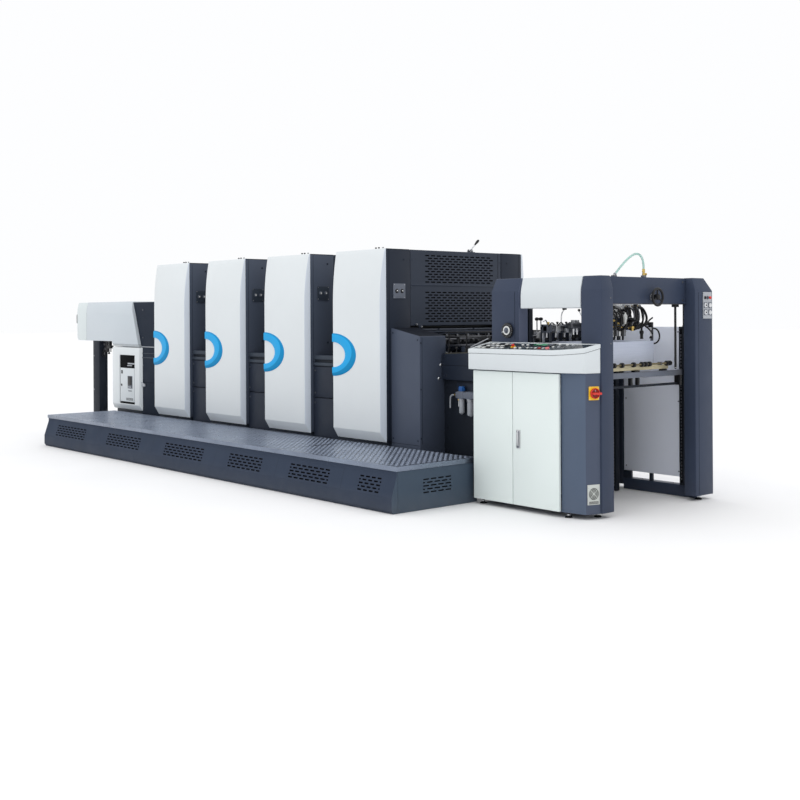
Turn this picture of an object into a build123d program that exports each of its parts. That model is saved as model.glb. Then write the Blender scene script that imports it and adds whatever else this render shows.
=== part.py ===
"""Sheet-fed offset printing press with four printing units.

Frame: X runs along the machine, +X at the feeder end; +Y points to the drive
side; Z is up.  The origin is on the floor under the middle of the bounding box.
All lengths are in millimetres.
"""
from build123d import *
import math
import os

os.makedirs("parts", exist_ok=True)

# ---------------------------------------------------------------- dimensions
# printing units
UNIT_W = 669.0            # width of one unit along X
UNIT_PITCH = 1064.0       # unit to unit
UNIT_FACE_X = 1832.0      # +X face of the first unit
UNIT_COUNT = 4
BODY_FRONT = -428.0       # operator-side plane of the frames
BODY_BACK = 1216.0        # drive-side plane of the frames
FRAME_IN_OP = -161.0      # inner face of the operator-side frames
FRAME_IN_DR = 949.0       # inner face of the drive-side frames
UNIT_TOP = 1988.0
LOWER_CORE_TOP = 1070.0
INKER_BOTTOM = 1336.0
INKER_TOP = 1986.0
BASE_TOP = 100.0

# unit covers
COVER_OUT = 51.0          # how far the operator covers stand out
COVER_OUT_DR = 72.0       # and the drive-side ones
COVER_BOTTOM = 362.0
COVER_KNEE = 447.0
COVER_CHAMFER = 28.0      # chamfer of the covers' +X edge, over their full depth
COVER_LEAN = ((1540.0, 0.0), (1640.0, 3.0), (1730.0, 8.5), (1820.0, 17.0), (1905.0, 28.0), (1988.0, 41.0))  # height, set-back

# ring accents on the covers
RING_OUT = (322.0, 187.0) # outer half-axes, along X and up
RING_IN = (180.0, 111.0)  # inner half-axes
RING_Z = 1086.0
RING_T = 10.0

# footboard
FB_X0, FB_X1 = -3050.0, 2895.0
FB_TOE_Y = -1288.0
FB_BACK_Y = -430.0
FB_H = 341.0
FB_SET = 50.0             # how far the upper part stands back from the toe
FB_KNEE_HI, FB_KNEE_LO = 272.0, 116.0
FB_PLATE = 8.0
FB_NOSE = 38.0

# infeed
INFEED_X1 = 2195.0
INFEED_FRONT = -382.0
INFEED_IN = -88.0

# feeder frame
FD_FRONT = -324.0
FD_BACK = 1017.0
FD_X0, FD_X1 = 2957.0, 4025.0
FD_TOP = 1700.0
FD_FOLD = 1603.0
FD_TAPER = 26.0
LPOST_W = 281.0
RPOST_W = 185.0
LPOST_D = 105.0
RPOST_D = 131.0
DPOST_X0 = 3918.0         # the drive-side right post is narrower
HOOD_X0 = 3265.0
PANEL_X1 = 3796.0          # drive-side panel between the left post and the hoist guide
PANEL_Y0, PANEL_Y1 = 926.0, 941.0
PANEL_Z0, PANEL_Z1 = 150.0, 1325.0
DPOST_IN = 790.0          # inner face of the drive-side right post
BEAM_X = 3937.0           # face of the end beam
BEAM_Z0 = 1500.0
FOOT_H = 36.0             # levelling feet under the feeder and the cabinet

# control cabinet and console
CAB_X0, CAB_X1 = 2932.0, 3782.0
DOOR_Y = -500.0
DOOR_T = 22.0
DOOR_GAP = 5.0
DOOR_Z0, DOOR_Z1 = 41.0, 1008.0
DOOR_SPLIT = 3337.5
CAB_Z0, CAB_Z1 = 36.0, 1016.0
CAB_BACK = -196.0
TRAY_Z0 = 1016.0
TRAY_Y = -530.0

# delivery
DL_POST_X0, DL_POST_X1 = -3617.0, -3453.0
DL_HOOD_X0 = -4040.0
DL_FRONT, DL_BACK = -432.0, 1220.0
DL_BOX_X0, DL_BOX_X1 = -3140.0, -2466.0


# ------------------------------------------------------------------- helpers
def box(x0, x1, y0, y1, z0, z1):
    return Pos((x0 + x1) / 2, (y0 + y1) / 2, (z0 + z1) / 2) * Box(x1 - x0, y1 - y0, z1 - z0)


def prism_x(pts, x0, x1):
    face = make_face(Polyline(*[(x0, y, z) for y, z in pts], close=True))
    return extrude(face, amount=x1 - x0, dir=(1, 0, 0))


def prism_y(pts, y0, y1):
    face = make_face(Polyline(*[(x, y0, z) for x, z in pts], close=True))
    return extrude(face, amount=y1 - y0, dir=(0, 1, 0))


def prism_z(pts, z0, z1):
    face = make_face(Polyline(*[(x, y, z0) for x, y in pts], close=True))
    return extrude(face, amount=z1 - z0, dir=(0, 0, 1))


def rod(p, q, r):
    """Round bar from p to q."""
    d = Vector(*q) - Vector(*p)
    return extrude(Plane(origin=p, z_dir=d) * Circle(r), amount=d.length)


def rounded(shape, axis, r):
    return fillet(shape.edges().filter_by(axis), r)


def tube_path(points, r):
    """Round tube along straight runs joined by tangent arcs."""
    pts = [Vector(*p) for p in points]
    radii = []
    for a, b, c in zip(pts, pts[1:], pts[2:]):
        turn = math.radians((b - a).get_angle(c - b))
        radii.append(0.45 * min((b - a).length, (c - b).length) / math.tan(turn / 2))
    path = FilletPolyline(*points, radius=radii)
    start = Plane(origin=pts[0], z_dir=pts[1] - pts[0])
    return sweep(start * Circle(r), path=path), radii, path.length


def save(shape, name):
    export_step(shape, f"parts/{name}.step")


def group(items):
    out = []
    for it in items:
        out.extend(it.solids())
    return Compound(out)


unit_x1 = [UNIT_FACE_X - i * UNIT_PITCH for i in range(UNIT_COUNT)]
unit_x0 = [x - UNIT_W for x in unit_x1]

# ------------------------------------------------------------ base and units
save(box(DL_BOX_X1, INFEED_X1, -400, 1188, 0, BASE_TOP), "press_base")

op_frames, dr_frames, lower, inkers, cylinders = [], [], [], [], []
for x0, x1 in zip(unit_x0, unit_x1):
    op_frames.append(box(x0, x1, BODY_FRONT, FRAME_IN_OP, BASE_TOP, UNIT_TOP))
    dr_frames.append(box(x0, x1, FRAME_IN_DR, BODY_BACK, BASE_TOP, UNIT_TOP))
    lower.append(box(x0, x1, FRAME_IN_OP, FRAME_IN_DR, BASE_TOP, LOWER_CORE_TOP))
    inkers.append(box(x0 + 40, x1 - 14, FRAME_IN_OP, FRAME_IN_DR, INKER_BOTTOM, INKER_TOP))
    cylinders.append(rod(((x0 + x1) / 2 + 120, FRAME_IN_OP, 1205), ((x0 + x1) / 2 + 120, FRAME_IN_DR, 1205), 118))
save(group(op_frames), "operator_side_frames")
save(group(dr_frames), "drive_side_frames")
save(group(lower), "unit_lower_housings")
save(group(inkers), "inking_units")
save(group(cylinders), "blanket_cylinders")

# covers: knee at the bottom, flat middle, leaning top
op_covers, dr_covers, rings = [], [], []
for x0, x1 in zip(unit_x0, unit_x1):
    yf = BODY_FRONT
    prof = [(yf, COVER_BOTTOM), (yf - COVER_OUT, COVER_KNEE)] + [(yf - COVER_OUT + b, z) for z, b in COVER_LEAN] + [(yf, UNIT_TOP)]
    plan = [(x0, yf), (x0, yf - COVER_OUT), (x1 - COVER_CHAMFER, yf - COVER_OUT), (x1, yf)]
    op_covers.append(prism_x(prof, x0, x1) & prism_z(plan, COVER_BOTTOM - 1, UNIT_TOP + 1))
    yb = BODY_BACK
    prof = [(yb, COVER_BOTTOM), (yb + COVER_OUT_DR, COVER_KNEE)] + [(yb + COVER_OUT_DR - b, z) for z, b in COVER_LEAN] + [(yb, UNIT_TOP)]
    plan = [(x0, yb), (x0, yb + COVER_OUT_DR), (x1 - COVER_CHAMFER, yb + COVER_OUT_DR), (x1, yb)]
    dr_covers.append(prism_x(prof, x0, x1) & prism_z(plan, COVER_BOTTOM - 1, UNIT_TOP + 1))
    yr = yf - COVER_OUT
    face = Plane(origin=(x0, yr, RING_Z), x_dir=(1, 0, 0), z_dir=(0, -1, 0))
    ring = extrude(face * (Ellipse(*RING_OUT) - Ellipse(*RING_IN)), amount=RING_T)
    rings.append(ring & box(x0, x1, yr - RING_T - 2, yr, RING_Z - 300, RING_Z + 300))
save(group(op_covers), "operator_covers")
save(group(dr_covers), "drive_covers")
save(group(rings), "ring_accents")

# guards over the inking units, and the small push-button boxes beside them
guards, btn = [], []
for x1 in unit_x1:
    guards.append(box(x1 - 14, x1, FRAME_IN_OP + 4, FRAME_IN_DR - 4, INKER_BOTTOM, INKER_TOP))
    btn.append(box(x1, x1 + 14, -354, -221, 1569, 1694))
save(group(guards), "ink_guards")
save(group(btn), "unit_button_plates")

# low housings between the units
mids = [box(unit_x1[i + 1], unit_x0[i], -400, 1188, BASE_TOP, LOWER_CORE_TOP) for i in range(UNIT_COUNT - 1)]
save(group(mids), "intermediate_housings")

# ------------------------------------------------- throw lever on the first unit
LV_X, LV_Y, LV_Z = 1772.0, 612.0, INKER_TOP + 19.0      # pivot
cheek = lambda x0, x1: (box(x0, x1, LV_Y - 16, LV_Y + 16, INKER_TOP + 5, LV_Z)
                        + rod((x0, LV_Y, LV_Z), (x1, LV_Y, LV_Z), 12)) \
    - rod((x0 - 1, LV_Y, LV_Z), (x1 + 1, LV_Y, LV_Z), 6.0)
bracket = box(LV_X - 34, LV_X + 34, LV_Y - 30, LV_Y + 30, INKER_TOP, INKER_TOP + 5) \
    + cheek(LV_X - 24, LV_X - 13) + cheek(LV_X + 13, LV_X + 24)
save(bracket, "lever_bracket")
LV_A = math.radians(42)                                  # above the horizontal
lv = lambda d: (LV_X, LV_Y + d * math.cos(LV_A), LV_Z + d * math.sin(LV_A))
lever = rod((LV_X - 8, LV_Y, LV_Z), (LV_X + 8, LV_Y, LV_Z), 9) \
    + rod((LV_X - 26, LV_Y, LV_Z), (LV_X + 26, LV_Y, LV_Z), 5.95) + rod(lv(0), lv(78), 6)
save(lever, "throw_lever")
grip = rod(lv(78), lv(148), 12)
grip = fillet(grip.edges(), 5)
save(grip, "throw_lever_grip")

# ------------------------------------------------------------------ footboard
prof = [(FB_BACK_Y, 0), (FB_BACK_Y, FB_H - FB_PLATE), (FB_TOE_Y + FB_SET, FB_H - FB_PLATE),
        (FB_TOE_Y + FB_SET, FB_KNEE_HI), (FB_TOE_Y, FB_KNEE_LO), (FB_TOE_Y, 26), (FB_TOE_Y + 18, 0)]
save(prism_x(prof, FB_X0, FB_X1), "footboard_housing")
tx0, tx1 = FB_X0 - 8, FB_X1 + 8
ty0 = FB_TOE_Y + FB_SET - 8
tread = box(tx0, tx1, ty0, FB_BACK_Y, FB_H - FB_PLATE, FB_H) \
    + box(tx0, tx1, ty0, ty0 + 7.5, FB_H - FB_NOSE, FB_H) \
    + box(tx0, tx0 + 7.5, ty0, FB_BACK_Y, FB_H - FB_NOSE, FB_H) \
    + box(tx1 - 7.5, tx1, ty0, FB_BACK_Y, FB_H - FB_NOSE, FB_H)
save(tread, "footboard_tread")

# --------------------------------------------------------------------- infeed
MID_Y = (BODY_FRONT + BODY_BACK) / 2
mirror_y = lambda y: 2 * MID_Y - y
infeed = [(UNIT_FACE_X, BASE_TOP), (INFEED_X1, BASE_TOP), (INFEED_X1, 1255), (UNIT_FACE_X, 1323)]
save(group([prism_y(infeed, INFEED_FRONT, INFEED_IN),
            prism_y(infeed, mirror_y(INFEED_IN), mirror_y(INFEED_FRONT))]), "infeed_housings")
PLATE_X1 = 2926.0
save(group([box(INFEED_X1, PLATE_X1, -112, -92, 0, 893), box(INFEED_X1, PLATE_X1, mirror_y(-92), mirror_y(-112), 0, 893)]),
     "infeed_side_panels")
plate = [(INFEED_X1, 893), (PLATE_X1, 893), (PLATE_X1, 1135), (INFEED_X1, 1105)]
save(group([prism_y(plate, -142, -92), prism_y(plate, mirror_y(-92), mirror_y(-142))]), "feedboard_side_plates")
board = [(UNIT_FACE_X + 6, 1150), (3240, 1206), (3240, 1222), (UNIT_FACE_X + 6, 1166)]
# two cross members between the side plates carry the board
save(prism_y(board, -86, 874) + box(2380, 2430, -92, mirror_y(-92), 1060, 1170)
     + box(2830, 2880, -92, mirror_y(-92), 1060, 1190)
     + box(3239, 3254, -80, 740, 1206, 1335), "feed_board")          # front stop of the pile
# air filter and regulator on the recessed panel
RG_X, RG_Y = 2446.0, -146.0
reg = box(RG_X - 60, RG_X + 150, -170, -112, 749, 804) + rod((RG_X - 5, RG_Y, 804), (RG_X - 5, RG_Y, 849), 26) \
    + rod((RG_X - 5, RG_Y, 749), (RG_X - 5, RG_Y, 625), 24) + rod((RG_X + 95, RG_Y, 749), (RG_X + 95, RG_Y, 610), 28)
save(reg, "air_regulator")

# --------------------------------------------------------------- feeder frame
def taper_post(x0, x1, y0, y1, z0, cut):
    """Post whose upper end folds inwards; cut lists the sides that fold."""
    body = box(x0, x1, y0, y1, z0, FD_TOP)
    t, e = FD_TAPER, 60.0
    if "-y" in cut:
        body -= prism_x([(y0 - e, FD_FOLD), (y0, FD_FOLD), (y0 + t, FD_TOP), (y0 + t, FD_TOP + 1), (y0 - e, FD_TOP + 1)], x0 - 1, x1 + 1)
    if "+y" in cut:
        t2 = t * 2.9
        body -= prism_x([(y1 + e, FD_FOLD), (y1, FD_FOLD), (y1 - t2, FD_TOP), (y1 - t2, FD_TOP + 1), (y1 + e, FD_TOP + 1)], x0 - 1, x1 + 1)
    if "+x" in cut:
        body -= prism_y([(x1 + e, FD_FOLD), (x1, FD_FOLD), (x1 - t, FD_TOP), (x1 - t, FD_TOP + 1), (x1 + e, FD_TOP + 1)], y0 - 1, y1 + 1)
    if "-x" in cut:
        body -= prism_y([(x0 - e, FD_FOLD), (x0, FD_FOLD), (x0 + t, FD_TOP), (x0 + t, FD_TOP + 1), (x0 - e, FD_TOP + 1)], y0 - 1, y1 + 1)
    return body


CONSOLE_BACK_Z = 1222.0
DIAL_X, DIAL_Z = 3135.0, 1308.0
lpost = taper_post(FD_X0, FD_X0 + LPOST_W, FD_FRONT, FD_FRONT + LPOST_D, TRAY_Z0, ("-y", "-x"))
lpost += rod((DIAL_X, FD_FRONT, DIAL_Z), (DIAL_X, FD_FRONT - 4, DIAL_Z), 44) \
    + rod((DIAL_X, FD_FRONT - 4, DIAL_Z), (DIAL_X, FD_FRONT - 24, DIAL_Z), 7.95)
save(lpost, "feeder_post_operator_left")
save(taper_post(FD_X1 - RPOST_W, FD_X1, FD_FRONT, FD_FRONT + RPOST_D, FOOT_H, ("-y", "+x")), "feeder_post_operator_right")
save(group([taper_post(FD_X0, FD_X0 + LPOST_W, FD_BACK - LPOST_D, FD_BACK, FOOT_H, ("+y", "-x")),
            taper_post(DPOST_X0, FD_X1, DPOST_IN, FD_BACK, FOOT_H, ("+y", "+x"))]), "feeder_posts_drive")

# white hood between the operator-side posts
hx0, hx1 = FD_X0 + LPOST_W, FD_X1 - RPOST_W
hood = [(FD_FRONT - 6, 1474), (FD_FRONT - 6, FD_FOLD), (FD_FRONT + FD_TAPER - 6, FD_TOP), (FD_FRONT + 78, FD_TOP), (FD_FRONT + 78, 1474)]
save(prism_x(hood, HOOD_X0, hx1), "feeder_hood")

# beams that tie the posts together; the end beam carries the handwheel's bearing
HW_Y, HW_Z = 373.0, 1552.0
spindle = rod((BEAM_X, HW_Y, HW_Z), (BEAM_X + 22, HW_Y, HW_Z), 24) + rod((BEAM_X + 22, HW_Y, HW_Z), (BEAM_X + 56, HW_Y, HW_Z), 9.95)
save(group([box(BEAM_X - 45, BEAM_X, FD_FRONT + RPOST_D, DPOST_IN, BEAM_Z0, FD_TOP - 2) + spindle,
            box(FD_X0 + 40, FD_X0 + 90, FD_FRONT + LPOST_D, FD_BACK - LPOST_D, 1520, 1690),
            box(hx0, DPOST_X0, FD_BACK - 90, FD_BACK - 40, 1520, 1690)]), "feeder_top_beams")
save(group([box(hx0, DPOST_X0, FD_BACK - 100, FD_BACK - 20, 0, 90),
            box(FD_X0 + 40, FD_X0 + 90, -192, FD_BACK - LPOST_D, 0, 90),
            box(hx0 + 2, hx0 + 78, PANEL_Y0 - 9, PANEL_Y1, 90, PANEL_Z0), box(hx0 + 258, hx0 + 286, PANEL_Y0 - 9, PANEL_Y1, 90, PANEL_Z0)]),
     "feeder_base_rails")
# drive-side panel behind the pile
save(box(hx0, PANEL_X1, PANEL_Y0, PANEL_Y1, PANEL_Z0, PANEL_Z1), "feeder_side_panel")

# handwheel on the end beam
hub = rod((BEAM_X + 27, HW_Y, HW_Z), (BEAM_X + 66, HW_Y, HW_Z), 21)
rim = Pos(BEAM_X + 50, HW_Y, HW_Z) * Rot(0, 90, 0) * Torus(62, 9)
wheel = hub + rim
for k in range(3):
    a = math.radians(90 + 120 * k)
    wheel += rod((BEAM_X + 48, HW_Y, HW_Z), (BEAM_X + 50, HW_Y + 62 * math.cos(a), HW_Z + 62 * math.sin(a)), 6.5)
wheel -= rod((BEAM_X + 20, HW_Y, HW_Z), (BEAM_X + 57, HW_Y, HW_Z), 10.0)
save(wheel, "feeder_handwheel")

# dial on the operator-side left post
dial = rod((DIAL_X, FD_FRONT - 9, DIAL_Z), (DIAL_X, FD_FRONT - 36, DIAL_Z), 57)
dial = fillet(dial.edges(), 4)
dial -= rod((DIAL_X, FD_FRONT - 5, DIAL_Z), (DIAL_X, FD_FRONT - 25, DIAL_Z), 8.0)
save(dial, "feeder_dial")

# suction head hung on a spindle between the beams
head = rod((FD_X0 + 90, HW_Y, HW_Z), (BEAM_X - 45, HW_Y, HW_Z), 16) + box(3440, 3640, HW_Y - 34, HW_Y + 34, 1400, HW_Z + 30) + box(3400, 3690, HW_Y - 150, HW_Y + 150, 1300, 1400) \
    + box(3360, 3420, HW_Y - 300, HW_Y + 300, 1318, 1362) + rod((3700, HW_Y - 306, 1340), (3700, HW_Y + 306, 1340), 10) \
    + box(3680, 3710, HW_Y - 16, HW_Y + 16, 1326, 1354) \
    + box(3296, 3340, -120, 730, 1296, 1346) + box(3338, 3362, 120, 180, 1318, 1346) + box(3338, 3362, 560, 620, 1318, 1346)
for sy in (-1, 1):
    head += box(3690, 3710, min(HW_Y + sy * 306, HW_Y + sy * 320), max(HW_Y + sy * 306, HW_Y + sy * 320), 1178 if sy > 0 else 1250, 1356)
save(head, "suction_head")

# pile of paper on its board, the hoist guides and bars, the tail rod with its rollers
save(box(3250, 3820, -120, 729, 1007, 1037), "pile_board")
save(box(3262, 3726, 16, 676, 1037, 1220), "paper_pile")
GUIDE = 44.0
GUIDES = ((3179.0, -192.0, 0.0, 1690.0), (3250.0, 752.0, 0.0, 1690.0),     # corner x, y, bottom, top
          (3788.0, -192.0, 0.0, 1312.0), (3796.0, 900.0, 90.0, 1327.0))
save(group([box(gx, gx + GUIDE, gy, gy + GUIDE, z0, z1) for gx, gy, z0, z1 in GUIDES]), "hoist_guides")
gy0 = GUIDES[0][1] + GUIDE
tail_bar = box(3796, 3832, gy0, 900, 951, 993)
for y in (-60, 300, 640):
    tail_bar += box(3796, 3832, y, y + 60, 993, 1007)
save(group([tail_bar, box(3254, 3290, gy0, 752, 969, 1007) + box(3187, 3254, gy0, -122, 969, 1007), box(3796, 3828, gy0, 900, 879, 896),
            rod((3908, 700, 1007), (3908, 700, BEAM_Z0), 9), rod((3818, 934, 1327), (3818, 934, 1520), 7)]), "hoist_bars")
tail = rod((3842, -140, 1050), (3842, 745, 1050), 7) + box(3816, 3852, -112, -98, 1037, 1062) + box(3816, 3852, 596, 610, 1037, 1062)
for y in (-60, 40, 133, 271, 371, 415, 462, 681, 714):
    tail += rod((3842, y - 13, 1050), (3842, y + 13, 1050), 19)
save(tail, "tail_rod")

# push-button panel on the drive-side post, with its emergency stop
bp = box(FD_X1, FD_X1 + 12, 886, 997, 1389, 1593)
bp += rod((FD_X1 + 12, 941, 1550), (FD_X1 + 26, 941, 1550), 8) + rod((FD_X1 + 26, 941, 1550), (FD_X1 + 40, 941, 1550), 11)
save(bp, "feeder_button_panel")

# --------------------------------------------------------- cabinet and console
P1 = (CAB_X1 - 2, DOOR_Y + DOOR_T + 5)
P2 = (3976.0, -440.0)
P3 = (4011.0, -324.0)
# chamfered corner housing that carries the switch and the fan
save(prism_z([P1, P2, P3, (FD_X1 - RPOST_W, -324.0), (FD_X1 - RPOST_W, CAB_BACK), (CAB_X1 - 2, CAB_BACK)], CAB_Z0, CAB_Z1), "cabinet_corner")
cy0 = DOOR_Y + DOOR_T + 5
save(box(CAB_X0, CAB_X0 + 20, cy0, CAB_BACK, CAB_Z0, CAB_Z1), "cabinet_left_side")
save(box(CAB_X0 + 20, CAB_X1 - 2, CAB_BACK - 16, CAB_BACK, CAB_Z0, CAB_Z1), "cabinet_back")
save(box(CAB_X0 + 20, CAB_X1 - 2, cy0, CAB_BACK - 16, CAB_Z0, CAB_Z0 + 20), "cabinet_floor")
feet = []
for fx, fy in ((2975, -440), (3817, -440), (3938, -268), (2975, -230), (3970, 900), (3098, 965)):
    feet.append(rod((fx, fy, 0), (fx, fy, 12), 26) + rod((fx, fy, 12), (fx, fy, CAB_Z0), 9))
save(group(feet), "levelling_feet")

save(rounded(box(CAB_X0, DOOR_SPLIT - DOOR_GAP / 2, DOOR_Y, DOOR_Y + DOOR_T, DOOR_Z0, DOOR_Z1), Axis.Z, 3), "cabinet_door_left")
rdoor = rounded(box(DOOR_SPLIT + DOOR_GAP / 2, CAB_X1, DOOR_Y, DOOR_Y + DOOR_T, DOOR_Z0, DOOR_Z1), Axis.Z, 3)
save(rdoor, "cabinet_door_right")
hd = box(3377, 3416, DOOR_Y - 6, DOOR_Y, 455, 590) + box(3386, 3407, DOOR_Y - 14, DOOR_Y - 6, 480, 570)
save(hd, "door_handle")

# console tray: overhangs the doors, its right end sweeps back to the post
def tray_outline():
    return [(2909, TRAY_Y), (3690, TRAY_Y), (3725, TRAY_Y + 2), (3760, TRAY_Y + 8), (3830, TRAY_Y + 24), (3900, TRAY_Y + 46), (3955, TRAY_Y + 67),
            (3974, TRAY_Y + 77), (3984, TRAY_Y + 92), (4014, TRAY_Y + 196), (4016, FD_FRONT - 1), (2939, FD_FRONT - 1)]


tray = prism_z(tray_outline(), TRAY_Z0, 1260)
slope = [(TRAY_Y - 10, 1168), (FD_FRONT + 10, 1224), (FD_FRONT + 10, 1300), (TRAY_Y - 10, 1300)]
tray -= prism_x(slope, 2800, 4100)
save(tray, "console_tray")
s = (1224 - 1168) / (FD_FRONT + 10 - TRAY_Y + 10)
zt = lambda y: 1168 + s * (y - TRAY_Y + 10)
pan = prism_z([(2940, TRAY_Y + 26), (3640, TRAY_Y + 26), (3730, TRAY_Y + 32), (3800, TRAY_Y + 58), (3876, TRAY_Y + 112), (3940, FD_FRONT - 22), (2962, FD_FRONT - 14)], 1100, 1300)
pan = pan & prism_x([(TRAY_Y - 10, 1168), (FD_FRONT + 10, 1224), (FD_FRONT + 10, 1228), (TRAY_Y - 10, 1172)], 2800, 4100)
save(pan, "console_panel")

# main switch on the corner housing
fdir = Vector(P3[0] - P2[0], P3[1] - P2[1], 0).normalized()
fnor = Vector(fdir.Y, -fdir.X, 0)
fmid = Vector((P2[0] + P3[0]) / 2, (P2[1] + P3[1]) / 2, 0)
SW_Z = 878.0
SW_SHIFT = 5.0
swp = Plane(origin=fmid + fdir * SW_SHIFT + Vector(0, 0, SW_Z), x_dir=fdir, z_dir=fnor)
plate = extrude(swp * Rectangle(84, 95), amount=8) + extrude(swp.offset(8) * Circle(6.95), amount=18)
save(plate, "switch_plate")
knob = extrude(swp.offset(13) * Circle(37), amount=15) + extrude(swp.offset(28) * Rectangle(66, 16), amount=28)
knob -= extrude(swp.offset(12) * Circle(7.0), amount=15)
save(knob, "switch_knob")
fan = Plane(origin=fmid + Vector(0, 0, 174), x_dir=fdir, z_dir=fnor)
save(extrude(fan * Rectangle(100, 140), amount=8), "fan_guard")

# ------------------------------------------------------------------- delivery
hood = [(DL_HOOD_X0, 1600), (DL_HOOD_X0, 1168), (DL_HOOD_X0 + 26, 1141), (-3127, 1141), (-3095, 1088), (-2476, 1084), (-2658, 1595)]
catch = box(DL_HOOD_X0 - 25, DL_HOOD_X0, DL_FRONT + 1, DL_FRONT + 31, 1340, 1462)
save(prism_y(hood, DL_FRONT, DL_BACK) + catch, "delivery_hood")
chas = [(DL_BOX_X1, BASE_TOP), (unit_x0[-1], BASE_TOP), (unit_x0[-1], 1588), (-2655, 1588), (-2476, 1100), (DL_BOX_X1, 1100)]
save(prism_y(chas, -400, 1188), "delivery_chassis")
save(group([box(DL_POST_X0, DL_POST_X1, BODY_FRONT, BODY_FRONT + 108, 0, 1141),
            box(DL_POST_X0, DL_POST_X1, BODY_BACK - 108, BODY_BACK, 0, 1141)]), "delivery_posts")
save(group([box(DL_POST_X1, DL_BOX_X1, BODY_FRONT + 30, BODY_FRONT + 90, 0, 70)
            + box(DL_BOX_X0 + 60, DL_BOX_X1, BODY_FRONT + 30, -140, 70, 366),
            box(DL_POST_X1, DL_BOX_X1, BODY_BACK - 90, BODY_BACK - 30, 0, 70)]), "delivery_base_rails")
cb = [(DL_FRONT + 20, 366), (DL_FRONT, 420), (DL_FRONT, 1078), (-130, 1078), (-130, 366)]
save(prism_x(cb, DL_BOX_X0, DL_BOX_X1), "delivery_control_box")

# hoses: routes as corner points of straight runs joined by arcs
HOSE_R = 8.0
BX = BEAM_X - 23.0
hoses = {
    "air_hose": (HOSE_R, [(BX, -33, 1716), (BX, 0, 1744), (BX, 44, 1780), (BX, 96, 1818), (BX, 150, 1850), (BX, 204, 1870),
                          (BX, 250, 1868), (BX, 285, 1842), (BX, 302, 1802), (BX, 302, 1760)]),
    "suction_hose_main": (9.0, [(3914, 205, 1500), (3914, 205, 1460), (3906.5, 218, 1423), (3892.4, 242.5, 1394.7), (3870.1, 272.2, 1380.7),
                                (3841.5, 305.6, 1378.6), (3798.3, 338, 1378.2), (3746.3, 358.7, 1378), (3690, 358.7, 1378)]),
    "suction_hose_loop": (6.0, [(3700, HW_Y + 320, 1316), (3700, HW_Y + 352, 1316), (3701, HW_Y + 384, 1304), (3702, HW_Y + 406, 1276),
                                (3703, HW_Y + 408, 1240), (3702, HW_Y + 388, 1210), (3700, HW_Y + 354, 1197), (3700, HW_Y + 320, 1197)]),
}
for name, (r, pts) in hoses.items():
    hose, radii, hlen = tube_path(pts, r)
    print(name, "radii", [round(q, 1) for q in radii], "length", round(hlen, 1),
          "volume ratio", round(hose.volume / (math.pi * r ** 2 * hlen), 4))
    save(hose, name)
a0, a1 = hoses["air_hose"][1][0], hoses["air_hose"][1][1]
d = (Vector(*a1) - Vector(*a0)).normalized()
f1 = box(BX - 14, BX + 14, -62, -26, FD_TOP - 2, FD_TOP + 8) + rod(tuple(Vector(*a0) - d * 16), a0, 11.5)
f2 = box(BX - 14, BX + 14, 286, 318, FD_TOP - 2, FD_TOP + 14) + rod((BX, 302, FD_TOP + 14), (BX, 302, 1760), 12)
save(group([f1, f2]), "hose_fittings")
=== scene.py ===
import math
import random

import bpy
import bmesh
from mathutils import Matrix, Vector


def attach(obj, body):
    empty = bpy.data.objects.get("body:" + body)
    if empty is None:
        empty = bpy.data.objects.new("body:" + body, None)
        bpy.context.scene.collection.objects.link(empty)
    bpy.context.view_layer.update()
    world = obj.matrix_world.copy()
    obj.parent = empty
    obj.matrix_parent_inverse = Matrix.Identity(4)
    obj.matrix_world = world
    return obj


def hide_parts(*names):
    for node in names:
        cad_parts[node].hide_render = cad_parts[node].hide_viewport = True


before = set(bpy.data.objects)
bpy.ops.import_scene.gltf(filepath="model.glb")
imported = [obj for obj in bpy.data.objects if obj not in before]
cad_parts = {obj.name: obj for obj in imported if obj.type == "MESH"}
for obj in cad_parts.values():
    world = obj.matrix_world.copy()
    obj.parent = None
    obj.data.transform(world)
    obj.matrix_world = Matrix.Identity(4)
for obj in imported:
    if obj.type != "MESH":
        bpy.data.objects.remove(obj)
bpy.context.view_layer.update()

rng = random.Random(11)
rad = math.radians

# Lengths below are millimetres in the part's frame; pieces are scaled to metres when they are finished.


# ================================================================ materials
def srgb(r, g, b):
    def f(c):
        c /= 255.0
        return c / 12.92 if c <= 0.04045 else ((c + 0.055) / 1.055) ** 2.4
    return (f(r), f(g), f(b))


def base_mat(name):
    m = bpy.data.materials.new(name)
    m.use_nodes = True
    nt = m.node_tree
    nt.nodes.clear()
    out = nt.nodes.new("ShaderNodeOutputMaterial")
    b = nt.nodes.new("ShaderNodeBsdfPrincipled")
    nt.links.new(b.outputs[0], out.inputs[0])
    co = nt.nodes.new("ShaderNodeTexCoord").outputs["Object"]
    return m, nt, b, co


def noise(nt, co, scale, detail=3.0, stretch=None, rough=0.55):
    if stretch:
        mp = nt.nodes.new("ShaderNodeMapping")
        mp.inputs["Scale"].default_value = stretch
        nt.links.new(co, mp.inputs["Vector"])
        co = mp.outputs["Vector"]
    n = nt.nodes.new("ShaderNodeTexNoise")
    n.inputs["Scale"].default_value = scale
    n.inputs["Detail"].default_value = detail
    n.inputs["Roughness"].default_value = rough
    nt.links.new(co, n.inputs["Vector"])
    return n.outputs["Fac"]


def ramp(nt, fac, stops):
    r = nt.nodes.new("ShaderNodeValToRGB")
    e = r.color_ramp.elements
    while len(e) < len(stops):
        e.new(0.5)
    for el, (p, c) in zip(e, stops):
        el.position = p
        el.color = (*c, 1.0)
    nt.links.new(fac, r.inputs["Fac"])
    return r.outputs["Color"]


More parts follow.
